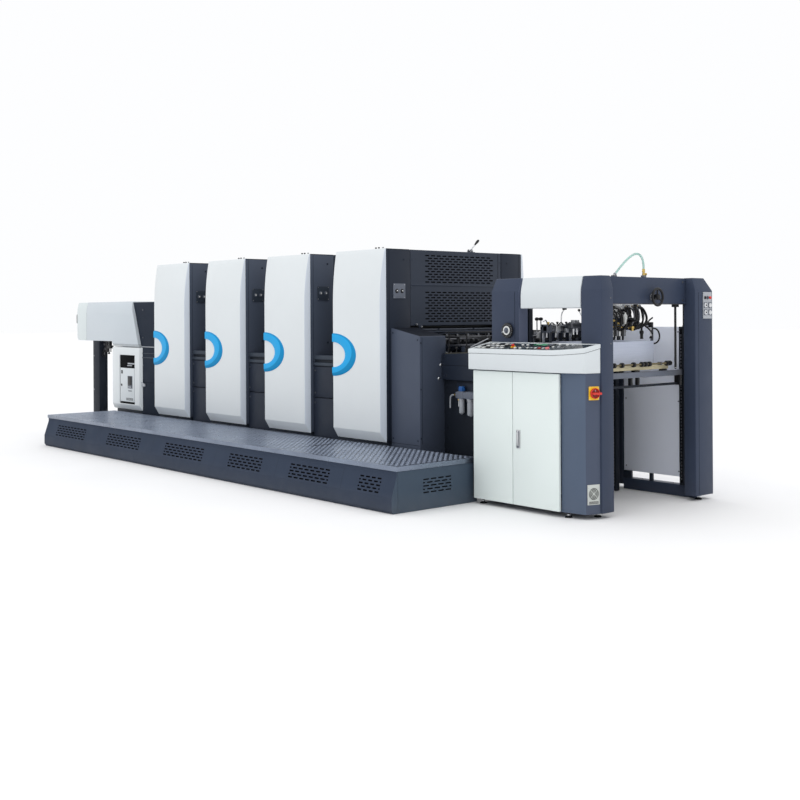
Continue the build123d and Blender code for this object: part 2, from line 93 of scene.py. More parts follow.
def span(nt, fac, lo, hi, a=0.3, b=0.7):
    r = nt.nodes.new("ShaderNodeMapRange")
    r.inputs["From Min"].default_value = a
    r.inputs["From Max"].default_value = b
    r.inputs["To Min"].default_value = lo
    r.inputs["To Max"].default_value = hi
    nt.links.new(fac, r.inputs["Value"])
    return r.outputs["Result"]


def bump(nt, b, fac, strength, dist, normal=None):
    n = nt.nodes.new("ShaderNodeBump")
    n.inputs["Strength"].default_value = strength
    n.inputs["Distance"].default_value = dist
    nt.links.new(fac, n.inputs["Height"])
    if normal is not None:
        nt.links.new(normal, n.inputs["Normal"])
    nt.links.new(n.outputs["Normal"], b.inputs["Normal"])
    return n.outputs["Normal"]


def shade(c, k):
    return tuple(min(1.0, x * k) for x in c)


def mul(nt, a, b):
    m = nt.nodes.new("ShaderNodeMath")
    m.operation = "MULTIPLY"
    nt.links.new(a, m.inputs[0])
    nt.links.new(b, m.inputs[1])
    return m.outputs[0]


def mixc(nt, fac, a, b):
    m = nt.nodes.new("ShaderNodeMix")
    m.data_type = "RGBA"
    nt.links.new(fac, m.inputs[0])
    nt.links.new(a, m.inputs[6])
    if isinstance(b, tuple):
        m.inputs[7].default_value = (*b, 1.0)
    else:
        nt.links.new(b, m.inputs[7])
    return m.outputs[2]


def paint(name, col, rough=0.38, var=0.05, scale=2.2, peel=0.05, spec=0.4, dirt=0.0, dirt_top=0.25, coat=0.0, metal=0.0, worn=0.0):
    """Sprayed sheet metal: cloudy tone, orange peel, a little dust low down, rubbed specks."""
    m, nt, b, co = base_mat(name)
    tone = ramp(nt, noise(nt, co, scale, 4.0), [(0.3, shade(col, 1 - var)), (0.7, shade(col, 1 + var))])
    if dirt:
        sep = nt.nodes.new("ShaderNodeSeparateXYZ")
        nt.links.new(co, sep.inputs[0])
        low = span(nt, sep.outputs["Z"], dirt, 0.0, 0.0, dirt_top)
        tone = mixc(nt, mul(nt, low, noise(nt, co, 9.0, 5.0, rough=0.7)), tone, (0.20, 0.19, 0.18))
    if worn:
        speck = span(nt, noise(nt, co, 55.0, 6.0, rough=0.75), 0.0, worn, 0.66, 0.78)
        tone = mixc(nt, speck, tone, shade(col, 1.9))
    nt.links.new(tone, b.inputs["Base Color"])
    nt.links.new(span(nt, noise(nt, co, 7.0, 3.0), rough - 0.05, rough + 0.07), b.inputs["Roughness"])
    b.inputs["Specular IOR Level"].default_value = spec
    b.inputs["Metallic"].default_value = metal
    if coat:
        b.inputs["Coat Weight"].default_value = coat
        b.inputs["Coat Roughness"].default_value = 0.12
    bump(nt, b, noise(nt, co, 420.0, 2.0), peel, 0.0006)
    return m


def brushed(name, col, rough=0.3, stretch=(4.0, 4.0, 160.0), var=0.10, spec=0.5):
    """Machined or brushed metal with fine lines across one direction."""
    m, nt, b, co = base_mat(name)
    line = noise(nt, co, 6.0, 4.0, stretch=stretch, rough=0.65)
    nt.links.new(ramp(nt, line, [(0.25, shade(col, 1 - var)), (0.75, shade(col, 1 + var))]), b.inputs["Base Color"])
    nt.links.new(span(nt, noise(nt, co, 22.0, 4.0), rough - 0.07, rough + 0.10), b.inputs["Roughness"])
    b.inputs["Metallic"].default_value = 1.0
    b.inputs["Specular IOR Level"].default_value = spec
    bump(nt, b, line, 0.06, 0.0006)
    return m


def plastic(name, col, rough=0.3, grain=0.12, gscale=900.0, var=0.06, spec=0.5, coat=0.0):
    m, nt, b, co = base_mat(name)
    nt.links.new(ramp(nt, noise(nt, co, 14.0, 3.0), [(0.3, shade(col, 1 - var)), (0.7, shade(col, 1 + var))]), b.inputs["Base Color"])
    nt.links.new(span(nt, noise(nt, co, 30.0, 2.0), rough - 0.04, rough + 0.06), b.inputs["Roughness"])
    b.inputs["Specular IOR Level"].default_value = spec
    if coat:
        b.inputs["Coat Weight"].default_value = coat
        b.inputs["Coat Roughness"].default_value = 0.08
    bump(nt, b, noise(nt, co, gscale, 2.0), grain, 0.0004)
    return m


CHARCOAL = paint("charcoal_paint", srgb(36, 43, 56), rough=0.42, spec=0.20, var=0.07, dirt=0.10, worn=0.10)
# darker charcoal for recesses, ledges and parts under or between others: painted shade
CHARCOAL_SHADE = paint("charcoal_recess_painted_shade", srgb(32, 37, 46), rough=0.5, spec=0.15, var=0.10)
# lighter charcoal on the +X faces of units 2–4: painted light in the gaps between units
GAP_FACE_LIT = paint("charcoal_gap_face_painted_light", srgb(74, 82, 97), rough=0.45, spec=0.18, var=0.06)
# lighter charcoal: on the gap housings' rails it is painted light in the shaded gaps
GAP_RAIL = paint("charcoal_rail", srgb(54, 62, 73), rough=0.42, spec=0.20, var=0.06)
INFEED = paint("infeed_paint", srgb(72, 80, 96), rough=0.42, spec=0.22, var=0.06, dirt=0.10, worn=0.08)
WHITE = paint("white_paint", srgb(219, 224, 226), rough=0.33, spec=0.42, var=0.018, peel=0.035, scale=1.4)
# bluer, darker copy of the cover white for the covers' +X sides: painted shade
WHITE_SIDE_SHADE = paint("cover_side_painted_shade", srgb(208, 216, 226), rough=0.33, spec=0.42, var=0.018, peel=0.035, scale=1.4)
# the hood body's white is a darker copy (painted shade) and the end cap's a lighter copy (painted light) of the hood's
# one white
WHITE_HOOD_SHADE = paint("hood_white_painted_shade", srgb(196, 204, 210), rough=0.34, spec=0.40, var=0.018, peel=0.035, scale=1.4)
WHITE_HOOD_LIT = paint("hood_cap_white_painted_light", srgb(212, 220, 221), rough=0.34, spec=0.40, var=0.018, peel=0.035, scale=1.4)
WHITE_T = paint("console_white", srgb(210, 216, 219), rough=0.33, spec=0.42, var=0.015, peel=0.035, scale=1.8)
DOOR = paint("door_paint", srgb(223, 232, 230), rough=0.36, spec=0.40, var=0.015, peel=0.04, scale=1.8)
# lighter copy of the feeder post paint: painted light on the +X side of the front-left post
POST_SIDE_LIT = paint("feeder_frame_painted_light_side", srgb(92, 100, 122), rough=0.42, spec=0.18, var=0.05, dirt=0.06)
POST = paint("feeder_frame_paint", srgb(56, 65, 84), rough=0.42, spec=0.16, var=0.05, dirt=0.10, worn=0.08)
BLUEGREY = paint("blue_grey_paint", srgb(73, 82, 101), rough=0.40, spec=0.24, var=0.05, dirt=0.10, worn=0.08)
# lighter copy of the blue-grey for the corner post's front faces: painted light
CAB_FRONT_LIT = paint("cabinet_corner_front_painted_light", srgb(80, 93, 113), rough=0.40, spec=0.24, var=0.05, dirt=0.10, worn=0.08)
# paint brighter than the panel's own, standing for light it lacks inside the feeder: painted light
SIDE_PANEL_LIT = paint("side_panel_painted_light", srgb(236, 241, 254), rough=0.42, spec=0.25, var=0.02, peel=0.04, scale=1.6)
SKIRT = paint("skirt_paint", srgb(53, 62, 78), rough=0.55, spec=0.05, var=0.06, dirt=0.22, dirt_top=0.16, worn=0.10)
DLV_BODY = paint("delivery_body_paint", srgb(38, 45, 57), rough=0.55, spec=0.06, var=0.06, worn=0.06)
GUARD = paint("guard_paint", srgb(53, 60, 73), rough=0.44, spec=0.20, var=0.06)
INFEED_T = paint("infeed_top_paint", srgb(26, 30, 39), rough=0.5, spec=0.12, var=0.06)
# lighter copy of the skirt paint for the +X end: painted light
SKIRT_END_LIT = paint("skirt_end_painted_light", srgb(64, 77, 92), rough=0.42, spec=0.18, var=0.06, dirt=0.22, dirt_top=0.16, worn=0.10)
SKIRT_J = paint("skirt_joint", srgb(34, 40, 50), rough=0.5, spec=0.12, var=0.06)
# darker copy of the accent blue on the ring's outer bevel: painted shade
BLUE_BEVEL_SHADE = paint("blue_accent_bevel_painted_shade", srgb(6, 138, 194), rough=0.36, spec=0.16, var=0.03, peel=0.03)
BLUE = paint("blue_accent", srgb(22, 164, 226), rough=0.34, spec=0.20, var=0.03, peel=0.03)
STEEL = brushed("machined_steel", (0.52, 0.53, 0.55), rough=0.32)
STEEL_D = brushed("dark_steel", (0.17, 0.175, 0.19), rough=0.38)
CHROME = brushed("chrome", (0.78, 0.79, 0.81), rough=0.12, stretch=(30.0, 30.0, 30.0), var=0.04)
ALU = brushed("cast_aluminium", (0.56, 0.57, 0.58), rough=0.45, stretch=(40.0, 40.0, 40.0), var=0.08)
BRASS = brushed("brass", (0.60, 0.43, 0.14), rough=0.28, stretch=(40.0, 40.0, 40.0))
BLACK = plastic("black_moulding", srgb(22, 23, 26), rough=0.38, spec=0.30)
# near-black: dark joints and key slots; as the floors of slots, the back of the guards and the fan opening it is
# painted shade
BLACK_S = plastic("black_slot", (0.004, 0.004, 0.005), rough=0.7, spec=0.05)
PANEL = plastic("console_panel_black", srgb(44, 54, 60), rough=0.24, spec=0.35, var=0.10, grain=0.05)
GREY_P = plastic("grey_moulding", srgb(166, 170, 176), rough=0.40, spec=0.35)
# grey for the lip under the delivery hood: painted shade of the overhang
LIP_SHADE_GREY = plastic("hood_lip_painted_shade", srgb(172, 178, 182), rough=0.45, spec=0.25)
GREY_D = plastic("dark_grey_plate", srgb(88, 93, 104), rough=0.42, spec=0.28)
GREY_M = plastic("mid_grey_plate", srgb(102, 108, 120), rough=0.42, spec=0.28)
CREAM = plastic("button_cream", srgb(222, 224, 222), rough=0.30, spec=0.45, coat=0.2)
RED = plastic("red_moulding", srgb(205, 38, 24), rough=0.26, spec=0.45, coat=0.25)
RED_D = plastic("dark_red_recess", srgb(128, 26, 20), rough=0.34, spec=0.35)
YELLOW = plastic("yellow_moulding", srgb(240, 190, 30), rough=0.30, spec=0.45)
GREEN = plastic("green_display", srgb(46, 150, 104), rough=0.18, spec=0.5, coat=0.5)
PINK = plastic("red_lamp", srgb(226, 118, 122), rough=0.20, spec=0.5, coat=0.4)
BLUE_K = plastic("blue_knob", srgb(22, 84, 150), rough=0.30, spec=0.45)
RUBBER = plastic("black_rubber", srgb(20, 20, 22), rough=0.55, grain=0.25, gscale=500.0, spec=0.25)
FAN_M = plastic("fan_guard_plastic", srgb(196, 200, 196), rough=0.42, spec=0.35)


def tread_material():
    m, nt, b, co = base_mat("tread_aluminium")
    tone = ramp(nt, noise(nt, co, 5.0, 5.0), [(0.3, (0.190, 0.220, 0.285)), (0.7, (0.240, 0.280, 0.355))])
    scuff = span(nt, noise(nt, co, 26.0, 6.0, rough=0.75), 0.0, 0.45, 0.58, 0.75)
    nt.links.new(mixc(nt, scuff, tone, (0.13, 0.145, 0.17)), b.inputs["Base Color"])
    nt.links.new(span(nt, noise(nt, co, 18.0, 4.0), 0.24, 0.40), b.inputs["Roughness"])
    b.inputs["Metallic"].default_value = 0.92
    bump(nt, b, noise(nt, co, 240.0, 3.0), 0.10, 0.0008)
    return m


def paper_material():
    m, nt, b, co = base_mat("paper_edges")
    sheets = noise(nt, co, 5.0, 5.0, stretch=(1.2, 1.2, 260.0), rough=0.7)
    nt.links.new(ramp(nt, sheets, [(0.25, srgb(180, 188, 208)), (0.55, srgb(202, 209, 226)), (0.8, srgb(220, 225, 238))]), b.inputs["Base Color"])
    b.inputs["Roughness"].default_value = 0.85
    b.inputs["Specular IOR Level"].default_value = 0.15
    bump(nt, b, sheets, 0.35, 0.0012)
    return m


def wood_material(name, a, c):
    m, nt, b, co = base_mat(name)
    grain = noise(nt, co, 7.0, 6.0, stretch=(14.0, 0.8, 14.0), rough=0.65)
    nt.links.new(ramp(nt, grain, [(0.25, a), (0.75, c)]), b.inputs["Base Color"])
    nt.links.new(span(nt, grain, 0.50, 0.70), b.inputs["Roughness"])
    b.inputs["Specular IOR Level"].default_value = 0.3
    bump(nt, b, grain, 0.15, 0.0008)
    return m


def hose_material():
    m, nt, b, co = base_mat("clear_hose")
    nt.links.new(ramp(nt, noise(nt, co, 20.0, 3.0), [(0.3, srgb(168, 214, 204)), (0.7, srgb(200, 232, 226))]), b.inputs["Base Color"])
    b.inputs["Roughness"].default_value = 0.16
    b.inputs["Transmission Weight"].default_value = 0.55
    b.inputs["IOR"].default_value = 1.42
    bump(nt, b, noise(nt, co, 150.0, 2.0), 0.05, 0.0005)
    return m


TREAD = tread_material()
PAPER = paper_material()
WOOD = wood_material("pile_board_wood", srgb(170, 160, 128), srgb(204, 196, 166))
OLIVE = wood_material("board_edge", srgb(62, 61, 52), srgb(84, 82, 70))
WOOD_B = wood_material("tail_bar_wood", srgb(88, 80, 56), srgb(122, 112, 82))
CLEAR = hose_material()


# ================================================================ mesh tools
def bevel(t, w, seg=2, angle=22):
    es = [e for e in t.edges if len(e.link_faces) == 2 and e.calc_face_angle(0.0) > rad(angle)]
    if es and w > 0:
        bmesh.ops.bevel(t, geom=es, offset=w, offset_type="OFFSET", segments=seg, profile=0.5, affect="EDGES", clamp_overlap=True)
    return t


def prism(pts, axis, a, b, bev=0.0, seg=2, angle=22):
    """Closed prism: pts are (y,z) for axis x, (x,z) for y, (x,y) for z."""
    t = bmesh.new()

    def co(p, h):
        return {"x": (h, p[0], p[1]), "y": (p[0], h, p[1]), "z": (p[0], p[1], h)}[axis]
    lo = [t.verts.new(co(p, a)) for p in pts]
    hi = [t.verts.new(co(p, b)) for p in pts]
    n = len(pts)
    t.faces.new(lo[::-1])
    t.faces.new(hi)
    for i in range(n):
        t.faces.new((lo[i], lo[(i + 1) % n], hi[(i + 1) % n], hi[i]))
    bmesh.ops.recalc_face_normals(t, faces=t.faces)
    return bevel(t, bev, seg, angle)


def box(x0, x1, y0, y1, z0, z1, bev=2.0, seg=2):
    return prism([(x0, y0), (x1, y0), (x1, y1), (x0, y1)], "z", z0, z1, bev, seg)


def axes_of(d):
    d = Vector(d).normalized()
    h = Vector((0, 0, 1)) if abs(d.z) < 0.9 else Vector((1, 0, 0))
    u = d.cross(h).normalized()
    return d, u, d.cross(u).normalized()


def lathe(p, d, prof, n=28):
    """Turned shape: prof is (radius, height along d) from p; ends close where the radius is 0."""
    t = bmesh.new()
    p = Vector(p)
    d, u, v = axes_of(d)
    rows = []
    for r, h in prof:
        if r < 1e-6:
            rows.append([t.verts.new(p + d * h)])
        else:
            rows.append([t.verts.new(p + d * h + (u * math.cos(2 * math.pi * k / n) + v * math.sin(2 * math.pi * k / n)) * r) for k in range(n)])
    for a, b in zip(rows, rows[1:]):
        for k in range(n):
            q = [a[k % len(a)], a[(k + 1) % len(a)], b[(k + 1) % len(b)], b[k % len(b)]]
            f = []
            for w in q:
                if w not in f:
                    f.append(w)
            if len(f) > 2:
                t.faces.new(f)
    for row in (rows[0], rows[-1]):
        if len(row) > 1:
            t.faces.new(row)
    bmesh.ops.recalc_face_normals(t, faces=t.faces)
    return t


def cyl(p, q, r, n=24, bev=1.0, r2=None):
    d = Vector(q) - Vector(p)
    L = d.length
    r2 = r if r2 is None else r2
    b = min(bev, L * 0.3, r * 0.5, r2 * 0.5)
    return lathe(p, d, [(0, 0), (r - b, 0), (r, b), (r2, L - b), (r2 - b, L), (0, L)] if b > 0 else [(0, 0), (r, 0), (r2, L), (0, L)], n)


def ball(c, r, n=18, m=9):
    return lathe(Vector(c) - Vector((0, 0, r)), (0, 0, 1), [(r * math.sin(math.pi * i / m), r - r * math.cos(math.pi * i / m)) for i in range(m + 1)], n)


def torus(c, d, R, r, nR=48, nr=12):
    t = bmesh.new()
    c = Vector(c)
    d, u, v = axes_of(d)
    ring = []
    for i in range(nR):
        a = 2 * math.pi * i / nR
        e = u * math.cos(a) + v * math.sin(a)
        ring.append([t.verts.new(c + e * (R + r * math.cos(2 * math.pi * k / nr)) + d * r * math.sin(2 * math.pi * k / nr)) for k in range(nr)])
    for i in range(nR):
        for k in range(nr):
            t.faces.new((ring[i][k], ring[(i + 1) % nR][k], ring[(i + 1) % nR][(k + 1) % nr], ring[i][(k + 1) % nr]))
    bmesh.ops.recalc_face_normals(t, faces=t.faces)
    return t


def smooth_line(pts, per=6):
    """Points of a smooth curve through pts."""
    P = [Vector(p) for p in pts]
    P = [P[0] * 2 - P[1]] + P + [P[-1] * 2 - P[-2]]
    out = []
    for a, b, c, d in zip(P, P[1:], P[2:], P[3:]):
        for k in range(per):
            s = k / per
            out.append(0.5 * (2 * b + (c - a) * s + (2 * a - 5 * b + 4 * c - d) * s * s + (3 * b - 3 * c + d - a) * s ** 3))
    out.append(P[-2])
    return out


def pipe(pts, r, n=12, smooth=0):
    """Rigid pipe or bent bar through pts."""
    pts = smooth_line(pts, smooth) if smooth else [Vector(p) for p in pts]
    t = bmesh.new()
    d = (pts[1] - pts[0]).normalized()
    _, u, v = axes_of(d)
    rows = []
    for i, p in enumerate(pts):
        nd = (pts[min(i + 1, len(pts) - 1)] - pts[max(i - 1, 0)]).normalized()
        q = d.rotation_difference(nd)
        u, v, d = q @ u, q @ v, nd
        rows.append([t.verts.new(p + (u * math.cos(2 * math.pi * k / n) + v * math.sin(2 * math.pi * k / n)) * r) for k in range(n)])
    for a, b in zip(rows, rows[1:]):
        for k in range(n):
            t.faces.new((a[k], a[(k + 1) % n], b[(k + 1) % n], b[k]))
    t.faces.new(rows[0])
    t.faces.new(rows[-1])
    bmesh.ops.recalc_face_normals(t, faces=t.faces)
    return t


def bolt(p, d, r=6.0, h=4.0):
    """Hexagon head with a chamfered top on a washer."""
    d = Vector(d).normalized()
    t = lathe(p, d, [(0, 0), (r * 1.5, 0), (r * 1.5, h * 0.25), (0, h * 0.25)], 20)
    s = lathe(Vector(p) + d * h * 0.25, d, [(0, 0), (r, 0), (r, h * 0.65), (r * 0.85, h * 0.9), (0, h * 0.9)], 6)
    join(t, s)
    return t


def join(t, s):
    s.verts.index_update()
    vs = [t.verts.new(v.co) for v in s.verts]
    for f in s.faces:
        nf = t.faces.new([vs[v.index] for v in f.verts])
        nf.material_index = f.material_index
    s.free()
    return t


class Piece:
    """One Blender piece, made of many shapes that may have different materials."""

    def __init__(self, name, *mats):
        self.name, self.mats, self.bm = name, list(mats), bmesh.new()

    def index(self, mat):
        if mat not in self.mats:
            self.mats.append(mat)
        return self.mats.index(mat)

    def add(self, t, mat, pick=None, other=None):
        """Adds a shape; faces that pick() accepts get the other material."""
        i = self.index(mat)
        k = self.index(other) if pick else i
        t.normal_update()
        for f in t.faces:
            f.material_index = k if pick and pick(f) else i
        join(self.bm, t)
        return self

    def quad(self, pts, mat):
        f = self.bm.faces.new([self.bm.verts.new(p) for p in pts])
        f.material_index = self.index(mat)

    def done(self, body="press", replaces=(), smooth=34):
        me = bpy.data.meshes.new(self.name)
        self.bm.to_mesh(me)
        self.bm.free()
        me.transform(Matrix.Scale(0.001, 4))
        for m in self.mats:
            me.materials.append(m)
        me.shade_smooth()
        me.set_sharp_from_angle(angle=rad(smooth))
        ob = bpy.data.objects.new(self.name, me)
        bpy.context.scene.collection.objects.link(ob)
        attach(ob, body)
        if replaces:
            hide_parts(*replaces)
        return ob


def slotted(pc, at, u0, u1, bands, mat, mat_in, depth=9.0):
    """Sheet with pressed slots.  at(u,v,w) places a point, w outwards; bands are (v0, v1, slots),
    each slot (centre, length, height); the sheet fills u0..u1 in each band.  The slot walls and floors take mat_in, a
    near-black that paints the shade inside the slots."""
    im, ii = pc.index(mat), pc.index(mat_in)
    bm = pc.bm

    def face(pts, k):
        f = bm.faces.new(pts)
        f.material_index = k
    for v0, v1, slots in bands:
        vc = (v0 + v1) / 2
        u = u0
        for c, ln, h in sorted(slots):
            a, b = c - ln / 2 - 2.5, c + ln / 2 + 2.5
            if a > u + 0.01:
                face([bm.verts.new(at(p, q, 0)) for p, q in ((u, v0), (a, v0), (a, v1), (u, v1))], im)
            r, e = h / 2, max(ln / 2 - h / 2, 0.5)
            outer = [(c + e, v0), (b, v0), (b, vc), (b, v1), (c + e, v1), (c - e, v1), (a, v1), (a, vc), (a, v0), (c - e, v0)]
            inner = [(c + e + r * math.cos(t), vc + r * math.sin(t)) for t in (-math.pi / 2, -math.pi / 4, 0, math.pi / 4, math.pi / 2)] \
                + [(c - e + r * math.cos(t), vc + r * math.sin(t)) for t in (math.pi / 2, 3 * math.pi / 4, math.pi, 5 * math.pi / 4, 3 * math.pi / 2)]
            O = [bm.verts.new(at(p, q, 0)) for p, q in outer]
            I = [bm.verts.new(at(p, q, 0)) for p, q in inner]
            D = [bm.verts.new(at(p, q, -depth)) for p, q in inner]
            for k in range(10):
                j = (k + 1) % 10
                face((O[k], O[j], I[j], I[k]), im)
                face((I[k], I[j], D[j], D[k]), ii)
            face(D, ii)
            u = b
        if u1 > u + 0.01:
            face([bm.verts.new(at(p, q, 0)) for p, q in ((u, v0), (u1, v0), (u1, v1), (u, v1))], im)


def fill(pc, at, rects, mat):
    for u0, u1, v0, v1 in rects:
        pc.quad([at(p, q, 0) for p, q in ((u0, v0), (u1, v0), (u1, v1), (u0, v1))], mat)


def chrome_button(pc, p, d, r=11.0, cap=CHROME, centre=BLACK):
    """Push button: bezel ring, cap with a dished centre."""
    pc.add(lathe(p, d, [(0, 0), (r * 1.25, 0), (r * 1.25, 2), (r, 4), (r, 7), (r * 0.85, 8.5), (r * 0.62, 8.5), (r * 0.58, 6.5), (0, 6.5)], 24), cap)
    q = Vector(p) + Vector(d).normalized() * 6.5
    pc.add(lathe(q, d, [(0, 0), (r * 0.5, 0), (r * 0.5, 2.0), (r * 0.4, 3.0), (0, 3.2)], 20), centre)


# ================================================================ camera, light, floor
def make_stage():
    th, roll = rad(49.1), -0.0053
    F = Vector((-math.sin(th), math.cos(th), 0))
    R = Vector((math.cos(th), math.sin(th), 0))
    Z = Vector((0, 0, 1))
    R3 = R * math.cos(roll) + Z * math.sin(roll)
    U3 = Z * math.cos(roll) - R * math.sin(roll)
    cam = bpy.data.cameras.new("camera")
    cam.sensor_width = 36.0
    cam.lens = 51.04
    cam.shift_y = -0.1064
    cam.clip_start, cam.clip_end = 0.1, 400.0
    ob = bpy.data.objects.new("camera", cam)
    M = Matrix((R3, U3, -F)).transposed().to_4x4()
    M.translation = Vector((9.070, -6.548, 1.430))
    ob.matrix_world = M
    bpy.context.scene.collection.objects.link(ob)
    bpy.context.scene.camera = ob

    t = lathe((0, 400, -0.6), (0, 0, 1), [(0, -40), (90000, -40), (90000, 0), (0, 0)], 96)
    me = bpy.data.meshes.new("floor")
    t.to_mesh(me)
    t.free()
    me.transform(Matrix.Scale(0.001, 4))
    fl = bpy.data.objects.new("floor", me)
    m, nt, b, co = base_mat("floor_pale")
    nt.links.new(ramp(nt, noise(nt, co, 0.6, 2.0), [(0.3, (0.82, 0.82, 0.825)), (0.7, (0.85, 0.85, 0.855))]), b.inputs["Base Color"])
    b.inputs["Roughness"].default_value = 0.7
    b.inputs["Specular IOR Level"].default_value = 0.2
    me.materials.append(m)
    bpy.context.scene.collection.objects.link(fl)

    w = bpy.data.worlds.new("studio")
    w.use_nodes = True
    bpy.context.scene.world = w
    bg = w.node_tree.nodes["Background"]
    bg.inputs["Color"].default_value = (0.985, 0.99, 1.0, 1.0)
    bg.inputs["Strength"].default_value = 1.0

    def area(name, loc, target, size, power):
        l = bpy.data.lights.new(name, "AREA")
        l.shape = "RECTANGLE"
        l.size, l.size_y = size
        l.energy = power
        o = bpy.data.objects.new(name, l)
        o.location = loc
        o.rotation_mode = "QUATERNION"
        o.rotation_quaternion = (Vector(target) - Vector(loc)).to_track_quat("-Z", "Y")
        bpy.context.scene.collection.objects.link(o)
    area("key_soft", (1.0, -9.5, 6.5), (0.5, 0.0, 1.0), (9.0, 5.0), 72.0)
    sun = bpy.data.lights.new("overhead_soft", "SUN")
    sun.energy = 0.85
    sun.angle = rad(70.0)
    so = bpy.data.objects.new("overhead_soft", sun)
    so.location = (0.0, 0.0, 12.0)
    bpy.context.scene.collection.objects.link(so)
    sc = bpy.context.scene
    sc.view_settings.view_transform = "Standard"
    sc.view_settings.look = "None"
    sc.view_settings.exposure = 0.0
    sc.view_settings.gamma = 1.0


make_stage()

# ================================================================ hoses
HOSES = {
    "air_hose": (0.016, CLEAR, "clear_hose", 0.4567, "object", [(3914, -33, 1716), (3914, 0, 1744), (3914, 44, 1780), (3914, 96, 1818), (3914, 150, 1850), (3914, 204, 1870),
                                              (3914, 250, 1868), (3914, 285, 1842), (3914, 302, 1802), (3914, 302, 1760)]),
    "suction_hose_main": (0.018, RUBBER, "black_rubber", 0.3671, "object", [(3914, 205, 1500), (3914, 205, 1460), (3906.5, 218, 1423), (3892.4, 242.5, 1394.7), (3870.1, 272.2, 1380.7),
                                                        (3841.5, 305.6, 1378.6), (3798.3, 338, 1378.2), (3746.3, 358.7, 1378), (3690, 358.7, 1378)]),
    "suction_hose_loop": (0.012, RUBBER, "black_rubber", 0.2398, "object", [(3700, 693, 1316), (3700, 725, 1316), (3701, 757, 1304), (3702, 779, 1276),
                                                        (3703, 781, 1240), (3702, 761, 1210), (3700, 727, 1197), (3700, 693, 1197)]),
}
for name, (dia, mat, slot_name, length, far, pts) in HOSES.items():
    cu = bpy.data.curves.new(name + "_line", "CURVE")
    cu.dimensions = "3D"
    sp = cu.splines.new("NURBS")
    sp.points.add(len(pts) - 1)
    for q, p in zip(sp.points, pts):
        q.co = (p[0] * 0.001, p[1] * 0.001, p[2] * 0.001, 1.0)
    sp.order_u = 3
    sp.use_endpoint_u = True
    sp.resolution_u = 10
    cu.bevel_depth = dia / 2
    cu.bevel_resolution = 5
    cu.use_fill_caps = True
    cu.materials.append(mat)
    ob = bpy.data.objects.new(name + "_soft", cu)
    bpy.context.scene.collection.objects.link(ob)
    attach(ob, "press")
    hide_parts(name)
    tuple(c * 0.001 for c in pts[0])

# ================================================================ printing units
UX1 = [1832.0 - 1064.0 * i for i in range(4)]
UX0 = [x - 669.0 for x in UX1]
LEAN = [(447, 0), (900, 0), (1300, 0), (1480, 0.0), (1540, 0.4), (1590, 1.3), (1640, 3.0), (1690, 5.4), (1740, 8.8), (1790, 13.2), (1840, 18.6), (1890, 25.0), (1940, 32.6), (1988, 41.0)]


def cover(x0, x1, yb, out, sy):
    """White cover: chamfered bottom and +X edge that meet in a mitre, top curving back."""
    t = bmesh.new()
    rows = []
    for z, s in [(362.0, None)] + LEAN:
        d = 0.0 if s is None else out - s
        if s is None:
            rows.append([t.verts.new((x0, yb, z)), t.verts.new((x1, yb, z))])
        else:
            rows.append([t.verts.new((x0, yb, z)), t.verts.new((x0, yb + sy * d, z)), t.verts.new((x1 - 28.0 * d / out, yb + sy * d, z)), t.verts.new((x1, yb, z))])
    a, b = rows[0], rows[1]
    t.faces.new((a[0], b[0], b[1]))
    t.faces.new((a[0], a[1], b[2], b[1]))
    t.faces.new((a[1], b[3], b[2]))
    for a, b in zip(rows[1:], rows[2:]):
        for k in range(3):
            t.faces.new((a[k], a[k + 1], b[k + 1], b[k]))
    t.faces.new(rows[-1])
    t.faces.new([r[0] for r in rows] + [r[-1] for r in reversed(rows)])
    bmesh.ops.recalc_face_normals(t, faces=t.faces)
    return bevel(t, 4.0, 3, 14)


pc = Piece("unit_covers_operator", WHITE)
# the +X faces take the darker side white: painted shade
for x0, x1 in zip(UX0, UX1):
    pc.add(cover(x0, x1, -428.0, 51.0, -1), WHITE, lambda f: f.normal.x > 0.5, WHITE_SIDE_SHADE)
pc.done(replaces=["operator_covers"], smooth=30)
pc = Piece("unit_covers_drive", WHITE)
# the +X faces take the darker side white: painted shade
for x0, x1 in zip(UX0, UX1):
    pc.add(cover(x0, x1, 1216.0, 70.0, 1), WHITE, lambda f: f.normal.x > 0.5, WHITE_SIDE_SHADE)
    for z in (760, 1330):
        pc.add(lathe((x0 + 60, 1285.5, z), (0, 1, 0), [(0, 0), (13, 0), (13, 0.6), (11, 1.6), (0, 1.6)], 24), STEEL)
        pc.add(box(x0 + 51, x0 + 69, 1286.8, 1287.4, z - 1.6, z + 1.6, 0), BLACK_S)
pc.done(replaces=["drive_covers"], smooth=30)


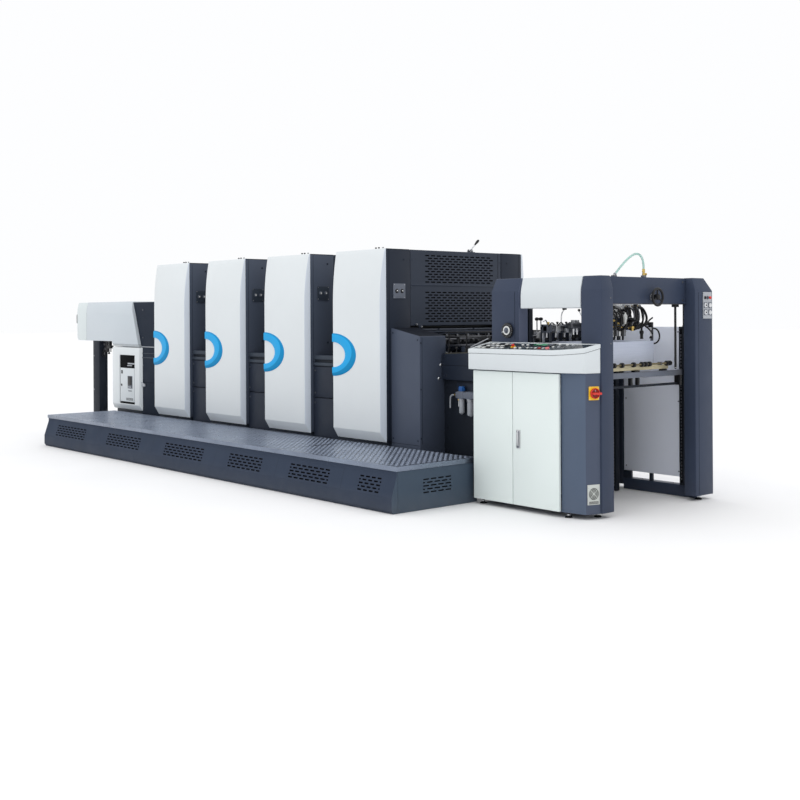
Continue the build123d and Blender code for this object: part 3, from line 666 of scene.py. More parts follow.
def ring(pc, x0):
    """Half-ellipse accent, cut by the cover's left edge; its face falls off widest at the lower right, and the
    falling-off faces take a darker blue, painted shade.
    """
    cz, n, t = 1086.0, 72, bmesh.new()
    rows = []
    for step in range(9):
        row = []
        for k in range(n + 1):
            a = rad(-90.0 + 180.0 * k / n)
            wide = 0.14 + 0.36 * max(0.0, math.cos(a + rad(42.0))) ** 1.6
            q, y = ((0.0, -479.0), (0.0, -486.6), (0.012, -488.2), (0.04, -489.0), (1.0 - wide - 0.03, -489.0), (1.0 - wide, -488.7), (0.965, -482.2), (0.995, -480.4), (1.0, -479.0))[step]
            row.append(t.verts.new((x0 + (180.0 + 142.0 * q) * math.cos(a), y, cz + (111.0 + 76.0 * q) * math.sin(a))))
        rows.append(row)
    bevels = set()
    for j, (a, b) in enumerate(zip(rows, rows[1:])):
        for k in range(n):
            f = t.faces.new((a[k], a[k + 1], b[k + 1], b[k]))
            if j >= 5:
                bevels.add(f)
    for k in range(n):
        t.faces.new((rows[-1][k], rows[-1][k + 1], rows[0][k + 1], rows[0][k]))
    for k in (0, n):
        t.faces.new([r[k] for r in rows])
    bmesh.ops.recalc_face_normals(t, faces=t.faces)
    pc.add(t, BLUE, lambda f: f in bevels, BLUE_BEVEL_SHADE)


pc = Piece("cover_rings", BLUE)
for x0 in UX0:
    ring(pc, x0)
pc.done(replaces=["ring_accents"], smooth=40)

# side frames: plates with a capping strip, bolted ledge and foot. The ledge under the cover is in the darker recess
# charcoal, painted shade; the +X faces of units 2–4 take a lighter charcoal, painted light in the gaps.
pc = Piece("frames_operator", CHARCOAL)
pd = Piece("frames_drive", CHARCOAL)
for x0, x1 in zip(UX0, UX1):
    for q, ya, yb in ((pc, -428.0, -161.0), (pd, 949.0, 1216.0)):
        q.add(box(x0, x1, ya, yb, 372, 1981, 4.0, 2), CHARCOAL, lambda f, X=x1: X < 1800 and f.normal.x > 0.9, GAP_FACE_LIT)
        q.add(box(x0 + 8, x1 - 8, ya + 8, yb - 8, 340, 376, 1.0), CHARCOAL_SHADE)
        q.add(box(x0, x1, ya, yb, 100, 342, 3.0), CHARCOAL)
        q.add(box(x0 + 3, x1 - 3, ya + 3, yb - 3, 1979, 1988, 3.0, 2), CHARCOAL)
        for xx in (x0 + 30, x1 - 30):
            for yy in (ya + 34, yb - 34):
                q.add(bolt((xx, yy, 1986.5), (0, 0, 1), 7, 1.4), STEEL_D)
        # vertical joint between the frame and its cover on the +X face
        ye = ya + 30 if q is pc else yb - 30
        q.add(box(x1 - 0.5, x1 + 0.8, min(ye - 1.2, ye + 1.2), max(ye - 1.2, ye + 1.2), 372, 1979, 0), BLACK_S)
        for zz in (470, 1010, 1180, 1900):
            q.add(bolt((x1, (ya + yb) / 2 + (60 if q is pc else -60), zz), (1, 0, 0), 6.5, 4.0), CHARCOAL)
            q.add(bolt((x0, (ya + yb) / 2 + (60 if q is pc else -60), zz), (-1, 0, 0), 6.5, 4.0), STEEL_D)
    # knobs on the operator frame's top
    for xx, m in ((x1 - 176, BLACK), (x1 - 136, BLACK), (x1 - 84, STEEL)):
        pc.add(lathe((xx, -392, 1987), (0, 0, 1), [(0, 0), (4, 0), (4, 7), (8, 8.5), (9, 11.5), (8.5, 15), (5.5, 17), (0, 17.5)], 22), m)
pc.done(replaces=["operator_side_frames"])
pd.done(replaces=["drive_side_frames"])

# inking units with their slotted guards
pc = Piece("inking_housings", CHARCOAL)
for x0, x1 in zip(UX0, UX1):
    pc.add(box(x0 + 40, x1 - 15, -161, 949, 1345, 1974, 3.0), CHARCOAL)
    pc.add(box(x0 + 46, x1 - 20, -150, 390, 1974, 1986, 4.0, 3), CHARCOAL)
    pc.add(box(x0 + 46, x1 - 20, 398, 938, 1974, 1986, 4.0, 3), CHARCOAL)
    for yy in (-90, 330, 460, 880):
        pc.add(bolt((x0 + 80, yy, 1984.5), (0, 0, 1), 6, 4.5), STEEL_D)
        pc.add(bolt((x1 - 60, yy, 1984.5), (0, 0, 1), 6, 4.5), STEEL_D)
    for yy in (118, 668):      # recessed grips of the lids
        pc.add(pipe([(x0 + 150, yy - 45, 1984), (x0 + 150, yy - 42, 2000), (x0 + 150, yy + 42, 2000), (x0 + 150, yy + 45, 1984)], 4.5, 12), STEEL)
    # joints on the -X side
    for zz in (1548, 1756):
        pc.add(box(x0 + 39.2, x0 + 41, -150, 938, zz - 1.5, zz + 1.5, 0), BLACK_S)
    for yy in (109, 379, 649):
        pc.add(box(x0 + 39.2, x0 + 41, yy - 1.5, yy + 1.5, 1350, 1970, 0), BLACK_S)
    # underside: ink rollers
    for k, (xx, zz, rr) in enumerate(((x0 + 170, 1322, 34), (x0 + 262, 1330, 42), (x0 + 545, 1326, 38))):
        pc.add(cyl((xx, -158, zz), (xx, 946, zz), rr, 32, 3), BLACK if k != 1 else STEEL_D)
pc.done(replaces=["inking_units"])


def guard_rows():
    rows = []
    even = [35.0 + 68.0 * k for k in range(12)]
    odd = [69.0 + 68.0 * k for k in range(12)]
    for k in range(11):
        z = 1940.0 - 22.8 * k
        rows.append((z - 11.4, z + 11.4, [(c, 50.0, 11.0) for c in (even if k % 2 == 0 else odd)]))
    top, low = 1940.0 + 11.4, 1940.0 - 22.8 * 10 - 11.4
    rows2 = []
    for k in range(12):
        z = 1623.0 - 22.8 * k
        rows2.append((z - 11.4, z + 11.4, [(c, 50.0, 11.0) for c in (odd if k % 2 else even)]))
    top2, low2 = 1623.0 + 11.4, 1623.0 - 22.8 * 11 - 11.4
    return rows + rows2, (top, low, top2, low2)


for i, (x0, x1) in enumerate(zip(UX0, UX1)):
    pc = Piece("ink_guard_%d" % (i + 1), CHARCOAL)
    at = lambda u, v, w, X=x1: (X + w, u, v)
    rows, (t1, b1, t2, b2) = guard_rows()
    slotted(pc, at, -153.0, 941.0, rows, GUARD, BLACK_S, 10.0)
    fill(pc, at, [(-153, 941, t1, 1982), (-153, 941, t2, b1), (-153, 941, 1340, b2)], GUARD)
    # folded edges and back of the sheet; the black back plate paints the shade behind the slots
    pc.add(prism([(x1 - 14, -157), (x1 - 3, -157), (x1, -153), (x1 - 3, -153), (x1 - 14, -153)], "z", 1336, 1986, 0), GUARD)
    pc.add(prism([(x1 - 14, 945), (x1 - 3, 945), (x1, 941), (x1 - 3, 941), (x1 - 14, 941)], "z", 1336, 1986, 0), GUARD)
    pc.add(prism([(x1 - 14, 1986), (x1 - 3, 1986), (x1, 1982), (x1 - 3, 1982), (x1 - 14, 1982)], "y", -157, 945, 0), GUARD)
    pc.add(prism([(x1 - 14, 1336), (x1 - 3, 1336), (x1, 1340), (x1 - 3, 1340), (x1 - 14, 1340)], "y", -157, 945, 0), GUARD)
    pc.add(box(x1 - 14, x1 - 12.5, -157, 945, 1336, 1986, 0), BLACK_S)
    # stiffening fold between the two fields, hinge pins and knobs
    pc.add(prism([(x1, 1694), (x1 + 3.5, 1690), (x1 + 3.5, 1680), (x1, 1676)], "y", -150, 938, 1.0), GUARD)
    pc.add(box(x1 - 12, x1 + 1.5, -62, -28, 1310, 1346, 2.0), GUARD)
    for yy, zz in ((-100, 1349), (-45, 1327)):
        pc.add(lathe((x1 + 1, yy, zz), (1, 0, 0), [(0, 0), (4.5, 0), (4.5, 6), (7.4, 8), (8, 12), (7, 17), (0, 18)], 22), STEEL)
    for yy in (-140, 928):
        for zz in (1420, 1660, 1900):
            pc.add(bolt((x1, yy, zz), (1, 0, 0), 5, 3.4), GUARD)
    pc.add(box(x1 - 1, x1 + 1.0, 904.0, 906.6, 1342, 1980, 0), BLACK_S)
    ob = pc.done()
    if i == 0:
        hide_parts("ink_guards")

# push-button plates beside the guards; units 2–4 have a darker plate than unit 1's grey (painted shade) and cream caps
# in place of chrome (painted highlights)
pc = Piece("button_plates", GREY_D)
for i, x1 in enumerate(UX1):
    pc.add(box(x1 + 0.2, x1 + 6.5, -354, -221, 1569, 1694, 2.0, 3), GREY_M if i == 0 else GAP_RAIL)
    for yy in (-317, -258):
        chrome_button(pc, (x1 + 6, yy, 1632), (1, 0, 0), 14.0, BLACK if i == 0 else GREY_D, CHROME if i == 0 else CREAM)
    for yy in (-345, -230):
        for zz in (1578, 1685):
            pc.add(lathe((x1 + 6.3, yy, zz), (1, 0, 0), [(0, 0), (3.4, 0), (3.4, 1.0), (2.6, 1.8), (0, 1.8)], 14), STEEL)
pc.done(replaces=["unit_button_plates"])

# lower housings between the frames; the strip on top is in the darker recess charcoal, painted shade
pc = Piece("lower_housings", CHARCOAL)
for x0, x1 in zip(UX0, UX1):
    pc.add(box(x0 + 1, x1 - 1, -161, 949, 100, 1062, 3.0), CHARCOAL)
    pc.add(box(x0 + 4, x1 - 4, -161, 949, 1058, 1070, 3.0), CHARCOAL_SHADE)
    for zz in (420, 740):
        pc.add(box(x1 - 1.6, x1 - 0.4, -150, 938, zz - 1.5, zz + 1.5, 0), BLACK_S)
        pc.add(box(x0 + 0.4, x0 + 1.6, -150, 938, zz - 1.5, zz + 1.5, 0), BLACK_S)
pc.done(replaces=["unit_lower_housings"])

# cylinders in the recess under each guard
pc = Piece("cylinders_and_bars", STEEL)
for x0, x1 in zip(UX0, UX1):
    cx = (x0 + x1) / 2 + 120
    pc.add(lathe((cx, -161, 1205), (0, 1, 0), [(0, 0), (110, 0), (118, 4), (118, 52), (112, 54), (112, 1056), (118, 1058), (118, 1106), (110, 1110), (0, 1110)], 64), STEEL_D)
    # clamping bar in the cylinder's gap; the bar and its bolts are in the darker recess charcoal, painted shade
    pc.add(box(cx + 95, cx + 114.5, -100, 888, 1188, 1222, 1.5), CHARCOAL_SHADE)
    for yy in range(-60, 880, 90):
        pc.add(bolt((cx + 114, yy, 1205), (1, 0, 0), 6, 4), CHARCOAL_SHADE)
    # guard bar and spray-wash bar in front of the cylinder
    pc.add(cyl((x1 - 26, -160, 1302), (x1 - 26, 948, 1302), 9, 18, 1), GREY_D)
    pc.add(box(x1 - 44, x1 - 22, -160, 948, 1110, 1152, 3.0), CHARCOAL)
    pc.add(cyl((x1 - 20, -160, 1262), (x1 - 20, 948, 1262), 6, 16, 1), CHARCOAL)
    for yy in (-140, 180, 608, 928):
        pc.add(box(x1 - 40, x1 - 10, yy - 7, yy + 7, 1256, 1312, 2.0), CHARCOAL)
pc.done(replaces=["blanket_cylinders"])

# low housings in the gaps between the units: rails on top, a joint lower down. The rails are in a lighter charcoal,
# painted light in the shaded gaps, and the fill between the housings is in the darker recess charcoal, painted shade.
pc = Piece("gap_housings", CHARCOAL)
for i in range(3):
    a, b = UX1[i + 1] + 1, UX0[i] - 1
    for ya, yb, s in ((-400, -380, -1), (1168, 1188, 1)):
        pc.add(box(a, b, ya, yb, 104, 684, 3.0), CHARCOAL)
        pc.add(box(a, b, ya, yb, 692, 966, 3.0), CHARCOAL)
        pc.add(box(a, b, ya, yb, 974, 1004, 4.0, 3), GAP_RAIL)
        pc.add(box(a, b, ya, yb, 1030, 1070, 6.0, 3), GAP_RAIL)
        yy = ya if s < 0 else yb
        for xx in (a + 26, b - 26):
            for zz in (150, 640, 730, 930):
                pc.add(bolt((xx, yy, zz), (0, s, 0), 6, 4), STEEL_D)
    pc.add(box(a + 1, b - 1, -382, 1170, 100, 1058, 0), CHARCOAL_SHADE)
    pc.add(box(a + 6, b - 6, -379, 1167, 1054, 1064, 2.0), CHARCOAL)
    # sheet transfer: a rod row over the housing
    for k in range(3):
        xx = a + 80 + k * 115
        pc.add(cyl((xx, -160, 1062), (xx, 948, 1062), 7.5, 16, 1), STEEL_D)
pc.done(replaces=["intermediate_housings"])

# base: plate on the floor with a set-back toe; the toe is in the darker recess charcoal, painted shade
pc = Piece("base_frame", CHARCOAL)
pc.add(box(-2466, 2195, -400, 1188, 12, 100, 4.0), CHARCOAL)
pc.add(box(-2458, 2187, -388, 1176, 0, 14, 1.0), CHARCOAL_SHADE)
for xx in range(-2300, 2195, 440):
    pc.add(bolt((xx, 1187.0, 56), (0, 1, 0), 9, 5), STEEL_D)
pc.done(replaces=["press_base"])

# throw lever on the first unit
LV = Vector((1772.0, 612.0, 2005.0))
pc = Piece("lever_bearing", STEEL)
pc.add(box(1738, 1806, 582, 642, 1986, 1990.8, 1.5), CHARCOAL)
for xa, xb in ((1748.4, 1758.6), (1785.4, 1795.6)):
    pc.add(prism([(596, 1990), (628, 1990), (625, 2004), (621.5, 2012.5), (612, 2017), (602.5, 2012.5), (599, 2004)], "x", xa, xb, 1.5), STEEL_D)
for xx in (1743, 1801):
    for yy in (589, 635):
        pc.add(bolt((xx, yy, 1990.4), (0, 0, 1), 3.4, 3.0), STEEL)
pc.done(replaces=["lever_bracket"])
ld = Vector((0, math.cos(rad(42)), math.sin(rad(42))))
pc = Piece("lever_arm", STEEL)
pc.add(cyl(LV - Vector((8, 0, 0)), LV + Vector((8, 0, 0)), 9, 32, 1.0), STEEL)
pc.add(cyl(LV - Vector((25.5, 0, 0)), LV + Vector((25.5, 0, 0)), 5.9, 20, 1), STEEL)
pc.add(lathe(LV + ld * 4, ld, [(0, 0), (7, 0), (7, 12), (6, 18), (5.4, 75), (0, 75)], 20), STEEL)
pc.done("lever", ["throw_lever"])
pc = Piece("lever_knob", BLACK)
pc.add(lathe(LV + ld * 78, ld, [(0, 0), (6.5, 0), (7.5, 2), (8.6, 18), (11.4, 38), (12, 50), (10.8, 62), (7, 68.5), (0, 69.8)], 28), BLACK)
pc.done("lever", ["throw_lever_grip"])

# ================================================================ footboard
FX0, FX1 = -3050.0, 2895.0
TY, BY, FH = -1287.9, -430.0, 341.0
KH, KL = 272.0, 116.0
pc = Piece("footboard_skirt", SKIRT)
slope = math.hypot(50.0, KH - KL)


def at_front(u, v, w):
    k = v / slope
    n = Vector((0, -(KH - KL), 50.0)).normalized() * w
    return (u, TY + 50.0 * k + n.y, KL + (KH - KL) * k + n.z)


VENTS = [(-2425, 700), (-1235, 700), (-67, 700), (953, 516), (1864, 536), (2616, 267)]
rows = []
pitch_v = 25.4
v_first = slope - 24.0
for k in range(5):
    v = v_first - 12 - pitch_v * k
    slots = []
    for c, wdt in VENTS:
        n = max(4, round(wdt / 74.0))
        p = wdt / n
        if k % 2 == 0:
            slots += [(c - wdt / 2 + p * (j + 0.5), p - 20.0, 12.0) for j in range(n)]
        else:
            slots += [(c - wdt / 2 + p * (j + 1), p - 20.0, 12.0) for j in range(n - 1)]
            slots += [(c - wdt / 2 + p * 0.25 - 2, p * 0.5 - 14, 12.0), (c + wdt / 2 - p * 0.25 + 2, p * 0.5 - 14, 12.0)]
    rows.append((v - pitch_v * 0.5, v + pitch_v * 0.5, slots))
slotted(pc, at_front, FX0 + 4, FX1 - 4, rows, SKIRT, BLACK_S, 9.0)
lo_v, hi_v = min(r[0] for r in rows), max(r[1] for r in rows)
fill(pc, at_front, [(FX0 + 4, FX1 - 4, 2.0, lo_v), (FX0 + 4, FX1 - 4, hi_v, slope)], SKIRT)


def at_end(u, v, w):
    return (FX1 + w, u, v)


rows = []
for k in range(5):
    z = 222.0 - 24.0 * k
    n, p, c, wdt = 4, 74.5, -842.0, 298.0
    if k % 2 == 0:
        s = [(c - wdt / 2 + p * (j + 0.5), p - 17.0, 10.0) for j in range(n)]
    else:
        s = [(c - wdt / 2 + p * (j + 1), p - 17.0, 10.0) for j in range(n - 1)]
        s += [(c - wdt / 2 + p * 0.25 - 3, p * 0.5 - 15, 10.0), (c + wdt / 2 - p * 0.25 + 3, p * 0.5 - 15, 10.0)]
    rows.append((z - 12, z + 12, s))
# end field in the lighter end paint: painted light on the +X face
slotted(pc, at_end, TY + 60, BY, rows, SKIRT_END_LIT, BLACK_S, 9.0)
fill(pc, at_end, [(TY + 60, BY, 234, FH - 9), (TY + 60, BY, 0, 114)], SKIRT_END_LIT)
# the shaped strip in front of the end field, rounded where it meets the front; its +X face takes the lighter end paint,
# painted light
END = [(TY + 60, 0), (TY + 18, 0), (TY, 26), (TY, KL), (TY + 50, KH), (TY + 50, FH - 9), (TY + 60, FH - 9)]
pc.add(prism(END, "x", FX1 - 6, FX1, 2.5, 3), SKIRT, lambda f: f.normal.x > 0.7, SKIRT_END_LIT)
pc.add(prism(END[:-1] + [(BY, FH - 9), (BY, 0)], "x", FX0, FX0 + 6, 2.5, 3), SKIRT)
# toe, upper strip and the closed back
for ya, za, yb, zb in ((TY + 18, 0, TY, 26), (TY, 26, TY, KL + 2)):
    pc.quad([(FX0 + 4, ya, za), (FX1 - 4, ya, za), (FX1 - 4, yb, zb), (FX0 + 4, yb, zb)], SKIRT)
pc.quad([(FX0 + 4, TY + 50, KH), (FX1 - 4, TY + 50, KH), (FX1 - 4, TY + 50, FH - 9), (FX0 + 4, TY + 50, FH - 9)], SKIRT)
pc.quad([(FX1, BY, 0), (FX0, BY, 0), (FX0, BY, FH - 9), (FX1, BY, FH - 9)], SKIRT)
pc.quad([(FX0 + 4, TY + 18, 0.2), (FX0 + 4, BY, 0.2), (FX1 - 4, BY, 0.2), (FX1 - 4, TY + 18, 0.2)], SKIRT)
# joints of the skirt's sections
for xx in (-1810.0, -640.0, 480.0, 1420.0, 2290.0):
    pc.quad([at_front(u, v, 0.4) for u, v in ((xx - 1.0, 3.0), (xx + 1.0, 3.0), (xx + 1.0, slope - 2), (xx - 1.0, slope - 2))], SKIRT_J)
pc.done(replaces=["footboard_housing"])

# tread: chequer plate with folded nosings
pc = Piece("tread_plate", TREAD)
tx0, tx1, ty0 = FX0 - 8, FX1 + 8, TY + 42
pc.add(box(tx0 + 1, tx1 - 1, ty0 + 1, BY, FH - 8.5, FH - 1.6, 0), TREAD)
pc.add(prism([(ty0, FH - 1.6 - 5), (ty0 + 1.6, FH - 1.6 - 1.4), (ty0 + 5, FH - 1.55), (ty0 + 9, FH - 1.55), (ty0 + 9, FH - 36), (ty0 + 7, FH - 38), (ty0 + 1.5, FH - 38), (ty0, FH - 36)], "x", tx0 + 1, tx1 - 1, 0.8), TREAD)
for xa, s in ((tx0, 1), (tx1, -1)):
    pts = [(xa, FH - 6.6), (xa + s * 1.6, FH - 3), (xa + s * 5, FH - 1.55), (xa + s * 9, FH - 1.55), (xa + s * 9, FH - 36), (xa + s * 7, FH - 38), (xa + s * 1.5, FH - 38), (xa, FH - 36)]
    pc.add(prism(pts, "y", ty0 + 1, BY, 0.8), TREAD)
for xx in (-1560.0, -70.0, 1420.0):
    pc.add(box(xx - 1.0, xx + 1.0, ty0, BY, FH - 3.0, FH - 1.3, 0), BLACK_S)
pc.done(replaces=["footboard_tread"])


def lozenges():
    """Raised bars of the chequer plate, turned left and right in turn, as one mesh."""
    a = 27.0
    verts, faces = [], []
    nx, ny = int((tx1 - tx0 - 24) / a), int((BY - ty0 - 20) / a)
    for i in range(nx):
        for j in range(ny):
            cx, cy = tx0 + 18 + a * (i + 0.5), ty0 + 16 + a * (j + 0.5)
            if any(abs(cx - s) < 12 for s in (-1560.0, -70.0, 1420.0)):
                continue
            s = 1 if (i + j) % 2 == 0 else -1
            e, f = Vector((0.7071, 0.7071 * s)), Vector((-0.7071 * s, 0.7071))
            b = len(verts)
            for hu, hv, z in ((13.0, 0.0, -1.6), (0.0, 4.0, -1.6), (-13.0, 0.0, -1.6), (0.0, -4.0, -1.6), (8.5, 0.0, 0.0), (0.0, 2.2, 0.0), (-8.5, 0.0, 0.0), (0.0, -2.2, 0.0)):
                p = e * hu + f * hv
                verts.append(((cx + p.x) * 0.001, (cy + p.y) * 0.001, (FH + z) * 0.001))
            for k in range(4):
                faces.append((b + k, b + (k + 1) % 4, b + 4 + (k + 1) % 4, b + 4 + k))
            faces.append((b + 4, b + 5, b + 6, b + 7))
    me = bpy.data.meshes.new("tread_bars")
    me.from_pydata(verts, [], faces)
    me.materials.append(TREAD)
    me.update()
    ob = bpy.data.objects.new("tread_bars", me)
    bpy.context.scene.collection.objects.link(ob)
    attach(ob, "press")


lozenges()

# ================================================================ infeed
MY = 2 * 394.0
pc = Piece("infeed_boxes", INFEED)
prof = [(1833, 100), (2195, 100), (2195, 1255), (1833, 1323)]
for ya, yb in ((-382.0, -88.0), (MY + 88.0, MY + 382.0)):
    pc.add(prism(prof, "y", ya, yb, 6.0, 3), INFEED, lambda f: f.normal.z > 0.8, INFEED_T)
    s = -1 if ya < 0 else 1
    yf = ya if s < 0 else yb
    # joint near the front fold, a lower joint and screws on the end face
    pc.add(box(2194.6, 2195.7, min(yf - s * 24, yf - s * 26.4), max(yf - s * 24, yf - s * 26.4), 372, 1246, 0), BLACK_S)
    pc.add(box(1840, 2189, min(yf - s * 0.6, yf + s * 0.6), max(yf - s * 0.6, yf + s * 0.6), 360, 362.5, 0), BLACK_S)
    for zz in (420, 820, 1200):
        pc.add(bolt((2195, yf - s * 12, zz), (1, 0, 0), 5, 3.5), CHARCOAL)
    for xx, zz in ((1860, 400), (2168, 400), (1860, 1280), (2168, 1225)):
        pc.add(bolt((xx, yf, zz), (0, s, 0), 5, 3.5), CHARCOAL)
    for dy, zz, rr in ((230, 1015, 9.0), (258, 1015, 9.0), (211, 904, 10.0)):
        chrome_button(pc, (2195, yf - s * dy, zz), (1, 0, 0), rr)
pc.done(replaces=["infeed_housings"])

# infeed side panels in the darker recess charcoal: painted shade
pc = Piece("infeed_panels", CHARCOAL)
for ya, yb in ((-112.0, -92.0), (MY + 92.0, MY + 112.0)):
    pc.add(box(2196, 2926, ya, yb, 0, 892, 3.0), CHARCOAL_SHADE)
    yf, s = (ya, -1) if ya < 0 else (yb, 1)
    pc.add(box(2350, 2630, min(yf, yf + s * 3), max(yf, yf + s * 3), 700, 872, 2.0), CHARCOAL)
    for xx in (2230, 2890):
        for zz in (120, 500, 840):
            pc.add(bolt((xx, yf, zz), (0, s, 0), 6, 4), CHARCOAL_SHADE)
pc.done(replaces=["infeed_side_panels"])

pc = Piece("feedboard_sides", CHARCOAL)
prof = [(2196, 893), (2926, 893), (2926, 1135), (2196, 1105)]
for ya, yb in ((-142.0, -92.0), (MY + 92.0, MY + 142.0)):
    pc.add(prism(prof, "y", ya, yb, 4.0, 3), CHARCOAL)
    yf, s = (ya, -1) if ya < 0 else (yb, 1)
    for xx in (2240, 2560, 2880):
        for zz in (930, 1070):
            pc.add(bolt((xx, yf, zz), (0, s, 0), 6.5, 4), CHARCOAL)
    pc.add(box(2196, 2926, min(yf + s * 0.7, yf - s * 0.7), max(yf + s * 0.7, yf - s * 0.7), 1012, 1014.4, 0), BLACK_S)
    # wooden edge strip on the plate
    zp = lambda x: 1105 + 30 * (x - 2196) / 730
    pc.add(prism([(2230, zp(2230) - 1), (2900, zp(2900) - 1), (2900, zp(2900) + 7), (2230, zp(2230) + 7)], "y", (ya + yb) / 2 - 17, (ya + yb) / 2 + 17, 1.0), OLIVE)
    ym = (ya + yb) / 2
    # sheet guide rods along the board on low brackets, a slanting stay
    for xx in (2262, 2470, 2690, 2880):
        pc.add(box(xx - 9, xx + 9, ym - 13, ym + 13, zp(xx), zp(xx) + 40, 3.0), BLACK)
        pc.add(cyl((xx, ym, zp(xx) + 36), (xx, ym, 1292), 5.5, 14, 1), BLACK)
    pc.add(cyl((2215, ym + s * -4, 1246), (2912, ym + s * -4, 1250), 6, 16, 1), BLACK)
    pc.add(cyl((2215, ym + s * -4, 1284), (2912, ym + s * -4, 1292), 6, 16, 1), BLACK)
    pc.add(cyl((2510, yf - s * 14, 1160), (2747, yf - s * 14, 1246), 5.5, 14, 1), STEEL)
    pc.add(box(2498, 2526, yf - s * 14 - 10, yf - s * 14 + 10, 1116, 1172, 3.0), BLACK)
    pc.add(box(2734, 2760, yf - s * 14 - 9, yf - s * 14 + 9, 1232, 1262, 3.0), BLACK)
    for xx in (2352, 2588, 2800):
        pc.add(lathe((xx, ym, zp(xx)), (0, 0, 1), [(0, 0), (9, 0), (9, 16), (5, 18), (5, 34), (11, 38), (12, 48), (8, 54), (0, 55)], 22), BLACK)
pc.done(replaces=["feedboard_side_plates"])

pc = Piece("feed_table", STEEL)
zt = lambda x: 1166 + 56 * (x - 1838) / 1402
pc.add(prism([(1838, 1150), (3240, 1206), (3240, 1222), (1838, 1166)], "y", -86, 874, 2.0), STEEL_D)
pc.add(box(2380, 2430, -92, 880, 1060, 1168, 3.0), CHARCOAL)
pc.add(box(2830, 2880, -92, 880, 1060, 1186, 3.0), CHARCOAL)
for yy in (60, 230, 394, 558, 728):      # conveyor tapes with their guide wheels
    pc.add(prism([(1850, zt(1850)), (3225, zt(3225)), (3225, zt(3225) + 2), (1850, zt(1850) + 2)], "y", yy - 20, yy + 20, 0.4), CHARCOAL)
for xx in (2050, 2330, 2620, 2910):
    pc.add(cyl((xx, -76, zt(xx) + 46), (xx, 864, zt(xx) + 46), 8, 16, 1), STEEL_D)
    for yy in (60, 230, 394, 558, 728):
        pc.add(lathe((xx + 26, yy - 9, zt(xx) + 24), (0, 1, 0), [(0, 0), (20, 0), (22, 2), (22, 16), (20, 18), (0, 18)], 28), BLACK)
        pc.add(box(xx - 5, xx + 30, yy + 10, yy + 16, zt(xx) + 20, zt(xx) + 52, 1.5), STEEL_D)
    for yy in (-78, 866):
        pc.add(box(xx - 16, xx + 16, yy - 6, yy + 6, zt(xx) - 4, zt(xx) + 62, 2.0), BLACK)
# two black knobs on stems and a bent rod at the feeder end of the board
for yy in (-78, -34):
    pc.add(cyl((3200, yy, 1216), (3200, yy, 1386), 5, 14, 1), STEEL)
    pc.add(lathe((3200, yy, 1380), (0, 0, 1), [(0, 0), (9, 0), (15, 5), (17, 13), (15, 21), (8, 25), (0, 26)], 24), BLACK)
    pc.add(box(3186, 3214, yy - 12, yy + 12, 1218, 1246, 3.0), BLACK)
pc.add(pipe([(3212, -20, 1372), (3214, 0, 1384), (3216, 16, 1368), (3218, 26, 1320), (3218, 30, 1226)], 4.5, 12, 5), CHROME)
# front stop of the pile with its fingers
pc.add(box(3240, 3250, -80, 740, 1206, 1335, 2.0), CHARCOAL)
for k in range(11):
    yy = -62 + 78 * k
    pc.add(box(3248, 3254, yy - 15, yy + 15, 1214, 1333, 2.0), STEEL_D if k % 2 else STEEL)
    pc.add(bolt((3254, yy, 1318), (1, 0, 0), 4.5, 3.0), STEEL_D)
for k, yy in enumerate((-40, 70, 190, 300, 420, 540, 660)):
    pc.add(box(3196, 3242, yy - 26, yy + 26, 1222, 1290 + 14 * (k % 3), 5.0, 2), (ALU, CHARCOAL, STEEL_D)[k % 3])
    pc.add(lathe((3214, yy, 1288), (0, 0, 1), [(0, 0), (7, 0), (7, 24), (11, 27), (12, 36), (8, 41), (0, 42)], 20), (BLACK, STEEL)[k % 2])
# front-lay bar at the first unit and its shaft
pc.add(box(1842, 1872, -86, 874, 1186, 1222, 3.0), STEEL_D)
pc.add(cyl((1890, -86, 1282), (1890, 874, 1282), 11, 20, 1), CHARCOAL)
pc.add(cyl((1934, -86, 1236), (1934, 874, 1236), 8, 18, 1), STEEL_D)
for yy in range(-60, 870, 130):
    pc.add(box(1868, 1898, yy - 9, yy + 9, 1196, 1262, 2.0), STEEL_D)
pc.done(replaces=["feed_board"])

# air filter and regulator
pc = Piece("air_unit", ALU)
RX, RY, RZ = 2446.0, -146.0, 749.0
pc.add(box(RX - 60, RX + 150, -168, -115, RZ + 2, RZ + 53, 6.0, 3), GREY_M)
pc.add(box(RX - 36, RX + 30, -171, -112, RZ - 4, RZ + 58, 5.0, 3), GREY_M)
pc.add(box(RX + 62, RX + 128, -171, -112, RZ - 4, RZ + 58, 5.0, 3), GREY_M)
pc.add(lathe((RX - 5, RY, RZ + 56), (0, 0, 1), [(0, 0), (22, 0), (22, 5), (26, 7), (26, 36), (24, 42), (0, 43)], 12), BLUE_K)
for k in range(12):
    a = 2 * math.pi * (k + 0.5) / 12
    pc.add(cyl((RX - 5 + 25.4 * math.cos(a), RY + 25.4 * math.sin(a), RZ + 65), (RX - 5 + 25.4 * math.cos(a), RY + 25.4 * math.sin(a), RZ + 91), 1.6, 8, 0.4), BLUE_K)
for dx, zb, rr in ((-5, 625, 24), (95, 610, 28)):
    L = RZ - 1 - zb
    pc.add(lathe((RX + dx, RY, RZ - 1), (0, 0, -1), [(0, 0), (rr + 1.5, 0), (rr + 1.5, 14), (rr - 1, 16), (rr - 1, L - 14), (rr - 6, L - 4), (8, L), (6, L + 4), (0, L + 4)], 32), GREY_P)
    pc.add(torus((RX + dx, RY, RZ - 19), (0, 0, 1), rr + 1, 2.0, 32, 8), ALU)
pc.add(cyl((RX - 60, RY, RZ + 25), (RX - 92, RY, RZ + 25), 11, 6, 1), BRASS)
